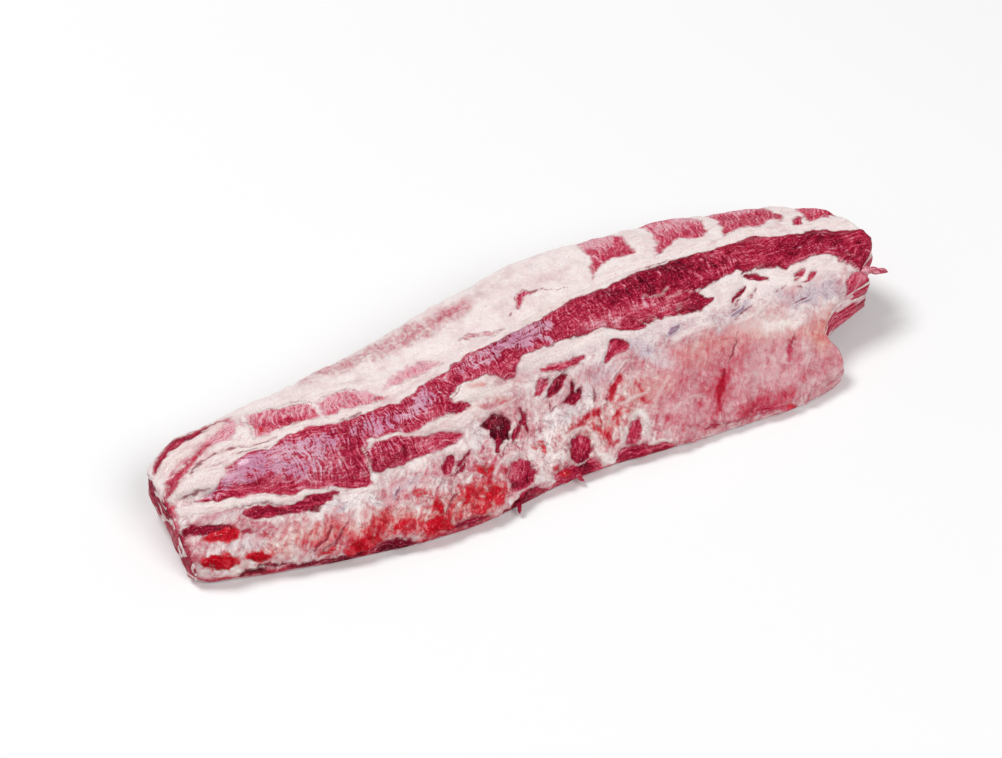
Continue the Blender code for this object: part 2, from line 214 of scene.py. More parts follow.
def cap_rings(ring, place, upper, lower, outward, steps, belly):
    """Rings that draw an end's outline in towards the line midway between its two chains."""
    y, z = ring[:, 1], ring[:, 2]
    level = np.clip(y, y.min() + 0.0004, y.max() - 0.0004)
    top = np.interp(level, *sorted_chain(y[upper], z[upper]))
    low = np.interp(level, *sorted_chain(y[lower], z[lower]))
    middle = np.stack([ring[:, 0], level, (top + low) / 2], axis=1)
    rings, places = [], []
    for part in np.linspace(0, 1, steps + 1)[1:]:
        part = part * 0.985
        drawn = ring + (middle - ring) * part
        drawn[:, 0] += outward * belly * math.sin(math.pi / 2 * min(1.0, 2.2 * part))
        rings.append(drawn)
        places.append(place)
    return rings, places


def sorted_chain(y, z):
    order = np.argsort(y)
    return y[order], z[order]


def ring_faces(ring_count, count):
    """Quads between successive rings of one closed loft."""
    ring = np.arange(ring_count - 1)[:, None] * count
    step = np.arange(count)[None, :]
    after = (step + 1) % count
    corners = (ring + step, ring + count + step, ring + count + after, ring + after)
    sides = [np.broadcast_to(c, (ring_count - 1, count)) for c in corners]
    return np.stack(sides, axis=2).reshape(-1, 4)


def bridge_chains(points, upper, lower):
    """Triangles that close an end between its upper and its lower chain."""
    faces, top, low = [], 0, 0
    while top < len(upper) - 1 or low < len(lower) - 1:
        take_top = low == len(lower) - 1
        if top < len(upper) - 1 and not take_top:
            take_top = points[upper[top + 1], 1] <= points[lower[low + 1], 1]
        corners = [upper[top], upper[top + 1] if take_top else lower[low + 1], lower[low]]
        if len(set(corners)) == 3:
            faces.append(corners)
        top += take_top
        low += not take_top
    return faces


def face_normals_at_points(points, quads):
    """A unit normal for each point, averaged from the faces round it."""
    a, b, c, d = (points[quads[:, corner]] for corner in range(4))
    facing = np.cross(c - a, d - b)
    total = np.zeros_like(points)
    for corner in range(4):
        np.add.at(total, quads[:, corner], facing)
    return total / (np.linalg.norm(total, axis=1, keepdims=True) + 1e-15)


def new_piece(name, points, faces):
    """A mesh object whose place is in its mesh, smooth shaded, with its faces turned outwards."""
    data = bpy.data.meshes.new(name)
    data.from_pydata(points.tolist(), [], faces)
    made = bpy.data.objects.new(name, data)
    bpy.context.scene.collection.objects.link(made)
    work = bmesh.new()
    work.from_mesh(data)
    bmesh.ops.recalc_face_normals(work, faces=work.faces)
    work.to_mesh(data)
    work.free()
    data.shade_smooth()
    return made


def rough(x, w, size, seed):
    """Smooth random bumps between about -1 and 1, each about one size across."""
    lattice = np.random.default_rng(seed).uniform(-1.4, 1.4, (97, 97))
    across, along = x / size + 40.3, w / size + 40.7
    column, row = np.floor(across).astype(int), np.floor(along).astype(int)
    s, t = across - column, along - row
    s, t = s * s * (3 - 2 * s), t * t * (3 - 2 * t)
    a, b = lattice[column % 97, row % 97], lattice[(column + 1) % 97, row % 97]
    c, d = lattice[column % 97, (row + 1) % 97], lattice[(column + 1) % 97, (row + 1) % 97]
    return (a * (1 - s) + b * s) * (1 - t) + (c * (1 - s) + d * s) * t


def stroke_depth(x, w, stroke):
    """How deep a place lies inside a brush stroke of (x, w, half width) points."""
    best = np.full(x.shape, -9.0)
    for (x_a, w_a, half_a), (x_b, w_b, half_b) in zip(stroke, stroke[1:]):
        run, rise = x_b - x_a, w_b - w_a
        t = np.clip(((x - x_a) * run + (w - w_a) * rise) / (run * run + rise * rise), 0, 1)
        inside = half_a + (half_b - half_a) * t - np.hypot(x - x_a - run * t, w - w_a - rise * t)
        best = np.maximum(best, inside)
    return best


def patch_depth(x, w, corners):
    """How deep a place lies inside a closed outline of (x, w) corners, negative outside it."""
    nearest, inside = np.full(x.shape, 99.0), np.zeros(x.shape, bool)
    for (x_a, w_a), (x_b, w_b) in zip(corners, corners[1:] + corners[:1]):
        run, rise = x_b - x_a, w_b - w_a
        t = np.clip(((x - x_a) * run + (w - w_a) * rise) / (run * run + rise * rise), 0, 1)
        nearest = np.minimum(nearest, np.hypot(x - x_a - run * t, w - w_a - rise * t))
        if rise:
            inside ^= ((w_a > w) != (w_b > w)) & (x < x_a + run * (w - w_a) / rise)
    return np.where(inside, nearest, -nearest)


def depth_in(x, w, shape):
    """How deep a place lies inside a stroke or a closed outline; 1.5 cm outside is far enough."""
    corners = np.array([corner[:2] for corner in shape])
    reach = 1.5 + (max(corner[2] for corner in shape) if len(shape[0]) == 3 else 0.0)
    (x_low, w_low), (x_high, w_high) = corners.min(axis=0) - reach, corners.max(axis=0) + reach
    near = (x > x_low) & (x < x_high) & (w > w_low) & (w < w_high)
    depth = np.full(x.shape, -1.5)
    measure = stroke_depth if len(shape[0]) == 3 else patch_depth
    depth[near] = np.maximum(measure(x[near], w[near], shape), -1.5)
    return depth


# Places on the skin are in centimetres: along the rack from a mark near its middle, and round the
# skin from the bottom of the thin edge.  A closed outline has (x, w) corners, and a stroke has
# (x, w, half width) points.
MARK_X = -0.01357

STRAP = (
    (-17.6, 4.35), (-16.6, 4.65), (-16, 4.95), (-15.7, 5.5), (-15.3, 5.65), (-14.9, 5.9),
    (-14.2, 6.25), (-13.6, 6.3),
    (-13.1, 6.2), (-12.5, 6.6), (-12, 6.8), (-11, 6.9), (-10, 6.8), (-9.5, 6.75), (-8.4, 6.95),
    (-7, 7.15), (-6.4, 7.05),
    (-5.8, 7.35), (-5.3, 7.6), (-4.9, 7.8), (-3.9, 8.0), (-3.4, 8.1), (-3.1, 8.45), (-2.5, 8.55),
    (-2.1, 8.85),
    (-1.2, 8.85), (0, 8.9), (1, 8.85), (2.2, 8.85), (3, 9.1), (4, 9.25), (5.4, 9.1), (6.4, 9.3),
    (7.4, 9.5), (8.4, 9.7),
    (9.4, 9.6), (10.3, 9.75), (11.3, 9.85), (12, 9.9), (12.8, 9.65), (14, 9.85), (15, 10.05),
    (15.6, 10), (16.1, 9.65),
    (17, 9.45), (17.8, 9.25), (18.6, 9.3), (19.2, 9.05), (20, 8.75), (20.6, 8.55), (21.2, 8.45),
    (23, 8.3),
    (23, 6.2), (20.6, 6.2), (19.95, 5.95), (19.6, 6.35), (19.2, 6.85), (18.8, 7.1), (18.3, 7.4),
    (17.4, 7.5),
    (16.4, 7.5), (16, 7.4), (15.6, 7.6), (14.5, 7.7), (13.6, 7.75), (13.2, 8), (12.9, 7.9),
    (12, 7.7), (11.2, 7.55),
    (10.6, 7.5), (11, 7.1), (11.5, 6.97), (11.1, 6.75), (10.5, 6.5), (9.6, 6.5), (8.6, 6.7),
    (8, 6.75), (7.6, 6.5),
    (7, 6.45), (6.2, 6.6), (5.5, 6.85), (5, 7.08), (4.2, 7), (3.3, 7.08), (2.4, 7.2), (1.2, 7.28),
    (0.4, 7.33),
    (0, 6.9), (-0.4, 6.35), (-1, 6.6), (-1.5, 7.1), (-2, 7.2), (-2.8, 7.15), (-3.2, 7.1), (-4, 6.6),
    (-3.5, 6.45),
    (-3.05, 6), (-3.6, 5.72), (-4.5, 5.77), (-5.2, 5.67), (-5.8, 5.52), (-6.2, 5.33), (-6.6, 5.3),
    (-7, 5.42),
    (-8, 5.52), (-8.6, 5.47), (-9, 4.7), (-9.08, 3.9), (-9.2, 3.4), (-9.8, 3.4), (-10.5, 3.6),
    (-11, 3.75),
    (-11.5, 3.85), (-12.3, 3.95), (-12.9, 3.75), (-13.3, 3.8), (-13.9, 4), (-14.4, 4.15),
    (-15, 4.15), (-16, 4.05),
    (-16.6, 4.22),
)

# Lean: tone (0 dark purple, 1 pale pink), grain angle, softness of the border, how far it lies
# sunk in millimetres, and its shape.
LEAN = (
    # slips beside the strap muscle
    (0.60, 0, 0.04, 0.0, (
        (-8.85, 4.5, 0.5), (-8, 4.65, 0.7), (-7, 4.75, 0.6), (-6.2, 4.7, 0.5), (-5.4, 4.7, 0.42),
        (-4.7, 4.68, 0.3), (-4.1, 4.68, 0.1),
    )),
    (0.42, 0, 0.04, 0.3, (
        (-15.4, 3.35, 0.12), (-14.9, 3.3, 0.33), (-13.9, 3.2, 0.28), (-12.8, 3.1, 0.25),
        (-12.3, 3.25, 0.36), (-11.7, 3.38, 0.3), (-11.1, 3.42, 0.15), (-10.8, 3.45, 0.05),
    )),
    (0.30, 0, 0.04, 0.3, ((-12.45, 2.88, 0.06), (-12.1, 2.85, 0.1))),
    (0.30, 0, 0.05, 0.5, (
        (-18.4, 3.0, 0.16), (-17.8, 2.95, 0.24), (-17.2, 2.85, 0.24), (-16.6, 2.8, 0.26),
        (-16.1, 2.7, 0.12),
    )),
    (0.34, 0, 0.05, 0.3, ((-15.75, 2.45, 0.1), (-15.5, 2.45, 0.18), (-15.1, 2.4, 0.04))),
    (0.45, -12, 0.04, 0.2, (
        (13.35, 7.7, 0.05), (13.7, 7.5, 0.16), (14.2, 7.35, 0.2), (14.6, 7.2, 0.12),
        (14.8, 7.1, 0.04),
    )),
    (0.60, -4, 0.06, 0.2, (
        (1.1, 6.2, 0.1), (1.6, 6.15, 0.2), (2.3, 5.9, 0.25), (3, 5.95, 0.25), (3.5, 6, 0.15),
        (3.65, 6, 0.05),
    )),
    (0.66, 0, 0.10, 0.0, ((18.9, 6.95, 0.1), (19.3, 6.6, 0.14), (19.6, 6.2, 0.1))),
    # muscle that shows thinly through the fat cover
    (0.84, 80, 0.12, 0.2, (
        (-13.6, 7.05), (-13.45, 8.1), (-13.2, 9.2), (-12.2, 9.2), (-11, 9.15), (-10.4, 8.9),
        (-10.1, 8.1), (-10.1, 7.4), (-10.9, 7.3), (-11.8, 7.4), (-12.9, 7.1),
    )),
    (0.91, 80, 0.12, 0.2, (
        (-10, 7.3), (-10, 8.4), (-9.4, 8.85), (-8.8, 8.9), (-7.9, 8.7), (-7.3, 8.2), (-7.3, 7.6),
        (-8, 7.35), (-9, 7.5), (-9.6, 7.3),
    )),
    (1.02, 36, 0.14, 0.2, (
        (-16, 7.5), (-15.2, 8.3), (-14.4, 9.0), (-13.6, 9.2), (-13.6, 8.3), (-14.2, 7.7),
        (-15, 7.2),
    )),
    (0.78, 0, 0.08, 0.0, ((-7.6, 7.75, 0.15), (-7.1, 7.8, 0.18), (-6.75, 7.82, 0.06))),
    (1.09, 80, 0.14, 0.1, (
        (-6.7, 8.25), (-6.1, 8.85), (-5.2, 9.3), (-4.2, 9.35), (-3.5, 9.05), (-3.3, 8.8),
        (-4.2, 8.6), (-5, 8.45), (-5.8, 8.25),
    )),
    (0.62, 60, 0.12, 0.0, ((-3.1, 8.1, 0.08), (-2.9, 8.5, 0.08))),
    (0.82, 0, 0.14, 0.0, (
        (-1.9, 9.9, 0.05), (-1.2, 10, 0.1), (-0.4, 9.65, 0.12), (0.3, 9.3, 0.06),
    )),
    (0.66, 60, 0.08, 0.2, (
        (1.8, 10.45, 0.08), (2, 10.8, 0.2), (2.3, 11.2, 0.25), (2.6, 11.3, 0.15),
        (2.85, 11.05, 0.1), (3.4, 10.95, 0.03),
    )),
    (0.55, 0, 0.05, 0.2, ((9.0, 9.86, 0.05), (9.5, 9.9, 0.08), (9.8, 9.92, 0.03))),
    (0.72, 82, 0.10, 0.2, (
        (6.05, 10.2), (6.3, 10.8), (6.6, 11.6), (6.95, 12.2), (7, 13), (7.1, 14.2), (7.5, 15),
        (8.0, 14.7), (8.5, 15.3), (9.0, 14.4), (9.4, 13.2), (9.25, 12.2), (9.2, 11.3), (8.8, 11.35),
        (8.3, 11.5), (8, 11.55), (7.6, 11.4), (7, 11.1), (6.5, 10.7),
    )),
    (0.68, 78, 0.10, 0.2, (
        (10, 10.6), (10.3, 11.2), (10.7, 12), (10.9, 13), (10.8, 14.2), (11.4, 15.1), (12.1, 14.8),
        (12.9, 15.6), (13.6, 14.6), (13.9, 13), (13.7, 12), (13.7, 11.6), (13.4, 11.4), (13, 11.3),
        (12.6, 11.25), (12.2, 11.5), (11.9, 11.7), (11.5, 11.6), (11.2, 11.3), (10.8, 11),
        (10.4, 10.7),
    )),
    (0.66, 72, 0.10, 0.2, (
        (13.9, 10.5), (14.1, 11), (14.4, 11.8), (14.6, 12.5), (14.5, 13.8), (15, 15), (15.9, 14.6),
        (16.8, 15.2), (17.7, 14.3), (17.8, 12.8), (18, 11.6), (17.8, 10.9), (17.6, 10.65),
        (17.3, 11.2), (17, 11.3), (16.6, 10.85), (16.2, 10.75), (15.8, 11.05), (15.4, 10.9),
        (14.8, 10.95), (14.3, 10.7),
    )),
    (0.60, 60, 0.08, 0.2, ((18.1, 10, 0.2), (18.4, 10.4, 0.25), (18.7, 10.7, 0.15))),
    (0.66, 72, 0.08, 0.2, (
        (18.9, 10), (18.95, 10.8), (19.1, 11.5), (19.2, 12.8), (19.8, 13.6), (20.4, 13), (20.8, 12),
        (20.9, 11.2), (20.6, 10.6), (20.3, 9.9), (19.5, 9.95),
    )),
    (0.55, 72, 0.06, 0.2, ((20.5, 10, 0.12), (20.8, 10.7, 0.12))),
    # folds and flesh at the neck end
    (0.56, 35, 0.10, 0.6, (
        (-18.3, 5.2, 0.15), (-17.9, 5.6, 0.28), (-17.5, 5.95, 0.26), (-17.1, 6.3, 0.18),
        (-16.6, 6.75, 0.14), (-16.1, 7.1, 0.12), (-15.5, 7.5, 0.12),
    )),
    (0.44, 35, 0.10, 0.3, (
        (-18.4, 6.8, 0.2), (-17.8, 7.6, 0.35), (-17.2, 8.15, 0.38), (-16.4, 8.45, 0.28),
        (-15.7, 8.8, 0.24), (-15, 9.1, 0.16), (-14.4, 9.25, 0.08),
    )),
    (0.74, 35, 0.16, 0.2, ((-16.4, 7.2, 0.1), (-15.6, 7.9, 0.14), (-14.8, 8.4, 0.12))),
    (0.30, 90, 0.12, 0.3, ((-18.9, 2, 0.5), (-18.8, 2.8, 0.45), (-18.9, 0.5, 0.3))),
    (0.62, 90, 0.12, 0.0, ((-18.7, 3.4, 0.3), (-18.6, 4.4, 0.28), (-18.7, 5, 0.2))),
    # holes between the ribs, where the thin flank is open on dark meat; their darkest tone is
    # partly painted shade in the hollows
    (0.46, 60, 0.04, 1.5, ((-5.35, 3.35, 0.28), (-5.1, 3.6, 0.3), (-4.9, 3.75, 0.2))),
    (0.34, 30, 0.04, 0.9, ((-4.7, 3.3, 0.1), (-4.3, 3.5, 0.12), (-3.95, 3.75, 0.06))),
    (0.36, 30, 0.04, 0.9, (
        (-5.3, 2.95, 0.04), (-4.8, 2.98, 0.08), (-4.5, 3.1, 0.12), (-4.35, 3.3, 0.08),
    )),
    (0.10, 60, 0.04, 1.6, (
        (-3.1, 4.75), (-2.6, 4.95), (-2.05, 5.1), (-1.65, 4.9), (-1.4, 4.4), (-1.5, 3.9),
        (-1.9, 3.5), (-2.5, 3.6), (-2.85, 4.0), (-2.7, 4.4),
    )),
    (0.30, 60, 0.04, 1.2, ((-2.7, 3.3, 0.12), (-2.4, 3.7, 0.22))),
    (0.32, 55, 0.04, 1.2, (
        (-1.75, 3.35, 0.06), (-1.4, 3.65, 0.16), (-1.1, 3.95, 0.12), (-0.8, 4.2, 0.1),
    )),
    (0.28, 80, 0.04, 1.2, (
        (-0.75, 3.6, 0.1), (-0.7, 4, 0.19), (-0.6, 4.4, 0.16), (-0.7, 4.7, 0.1),
    )),
    (0.56, 50, 0.04, 0.9, (
        (0.25, 4.95), (0.5, 4.8), (1.2, 5.4), (1.3, 5.7), (0.85, 5.95), (0.5, 5.6),
    )),
    (0.30, 35, 0.04, 1.2, (
        (0.85, 4.6), (1.2, 4.6), (1.7, 4.8), (2.1, 5.05), (2.4, 5.25), (2.1, 5.5), (1.6, 5.55),
        (1.15, 5.2),
    )),
    (0.32, 50, 0.04, 1.3, (
        (1.5, 4.05), (2.1, 3.8), (2.5, 3.95), (2.8, 4.2), (2.9, 4.5), (2.65, 4.5), (2.45, 4.3),
        (2.65, 4.85), (2.5, 5.05), (2.3, 4.75), (2, 4.45),
    )),
    (0.50, 35, 0.04, 1.0, (
        (4.35, 5.25), (4.6, 5.25), (5.3, 5.5), (6, 5.65), (6.1, 5.85), (5.95, 6.1), (5.4, 6.4),
        (5.2, 6.35), (4.8, 5.8),
    )),
    (0.32, 25, 0.04, 0.5, (
        (12.25, 6.55, 0.06), (12.6, 6.75, 0.1), (13, 6.95, 0.13), (13.35, 7.05, 0.07),
    )),
    (0.50, 25, 0.05, 0.3, ((12.3, 6.38, 0.04), (12.8, 6.55, 0.04))),
    (0.55, 20, 0.08, 0.3, ((13.35, 6.5, 0.05), (13.75, 6.62, 0.06))),
    (0.52, 20, 0.05, 0.6, ((16.05, 6.62, 0.07), (16.4, 6.88, 0.2), (16.75, 7, 0.1))),
    (0.56, 25, 0.05, 0.6, (
        (16.2, 6.3, 0.05), (16.8, 6.4, 0.1), (17.2, 6.68, 0.18), (17.45, 6.75, 0.08),
    )),
    # round eyes of meat low on the flank
    (0.60, 70, 0.06, 0.5, (
        (-2.65, 1.0), (-2.6, 1.9), (-2.2, 2.4), (-1.7, 2.5), (-1.2, 2.2), (-1.15, 1.5), (-1.4, 0.9),
        (-1.9, 0.8),
    )),
    (0.38, 60, 0.05, 0.7, (
        (0.9, 1.1), (0.95, 1.7), (1.35, 2.25), (1.9, 2.35), (2.3, 2.0), (2.2, 1.4), (1.8, 0.9),
        (1.2, 0.85),
    )),
    (0.56, 60, 0.05, 0.7, (
        (3.95, 1.05), (4.15, 1.6), (4.5, 2.0), (4.95, 2.1), (5.1, 1.7), (4.8, 1.2), (4.3, 0.9),
    )),
    (0.40, 90, 0.06, 0.5, ((2.3, 1.35, 0.06), (2.38, 1.6, 0.06))),
    # dark raw meat along the thin edge; its low dark band is partly painted shade of the edge's
    # shadowed side
    # Dark low band: meat edge, partly painted shade
    (0.18, 0, 0.10, 0.3, ((-16.4, 0.15, 0.2), (-15.4, 0.15, 0.22))),
    (0.20, 0, 0.08, 0.3, ((-15.5, 0.42, 0.08), (-14.7, 0.42, 0.12), (-14, 0.4, 0.06))),
    (0.18, 0, 0.10, 0.3, ((-14, 0.05, 0.2), (-12.8, 0.15, 0.22), (-10.8, 0.15, 0.2))),
    (0.28, 0, 0.09, 0.3, (
        (-10.3, -0.3), (-10.2, 0.45), (-9.6, 0.7), (-8.8, 0.7), (-8.2, 0.45), (-7.8, -0.3),
    )),
    (0.30, 0, 0.08, 0.3, ((-6.3, 0.45, 0.14), (-5.3, 0.5, 0.24), (-4.3, 0.4, 0.14))),
    (0.34, 0, 0.08, 0.3, ((-4, 0.1, 0.14), (-3.2, 0.15, 0.16))),
    (0.36, 0, 0.07, 0.5, (
        (-2.9, -0.3), (-2.8, 0.4), (-2.4, 0.8), (-1.6, 0.85), (-1.1, 0.5), (-0.6, -0.3),
    )),
    (0.52, 0, 0.07, 0.4, (
        (-0.3, -0.3), (-0.3, 0.7), (0, 1.0), (0.6, 1.0), (1.2, 0.85), (1.9, 1.0), (2.3, 0.7),
        (2.8, -0.3),
    )),
    (0.40, 0, 0.07, 0.4, (
        (2.9, -0.3), (3.2, 0.5), (3.6, 0.98), (4.3, 0.98), (4.8, 0.8), (5.6, 0.66), (6.4, 0.4),
        (6.5, -0.3),
    )),
    (0.40, 0, 0.08, 0.0, (
        (8.2, 0.62, 0.05), (8.7, 0.72, 0.12), (9.3, 0.55, 0.05), (10.4, 0.5, 0.05),
        (11.5, 0.5, 0.08),
    )),
    (0.54, 0, 0.10, 0.0, (
        (11, 0.8, 0.1), (11.6, 0.75, 0.22), (12.2, 0.6, 0.15), (12.8, 0.3, 0.2), (13.3, 0.1, 0.2),
    )),
    (0.55, 60, 0.09, 0.5, (
        (13.9, 2.6, 0.06), (14.1, 3.0, 0.17), (14.35, 3.5, 0.17), (14.6, 3.9, 0.07),
    )),
    # torn flap at the loin end
    (0.62, 40, 0.06, 0.2, (
        (17.5, 3.6), (17.9, 4.5), (18.3, 5.1), (18.8, 5.8), (19.3, 6.0), (21.5, 6.2), (21.5, 3.4),
    )),
)
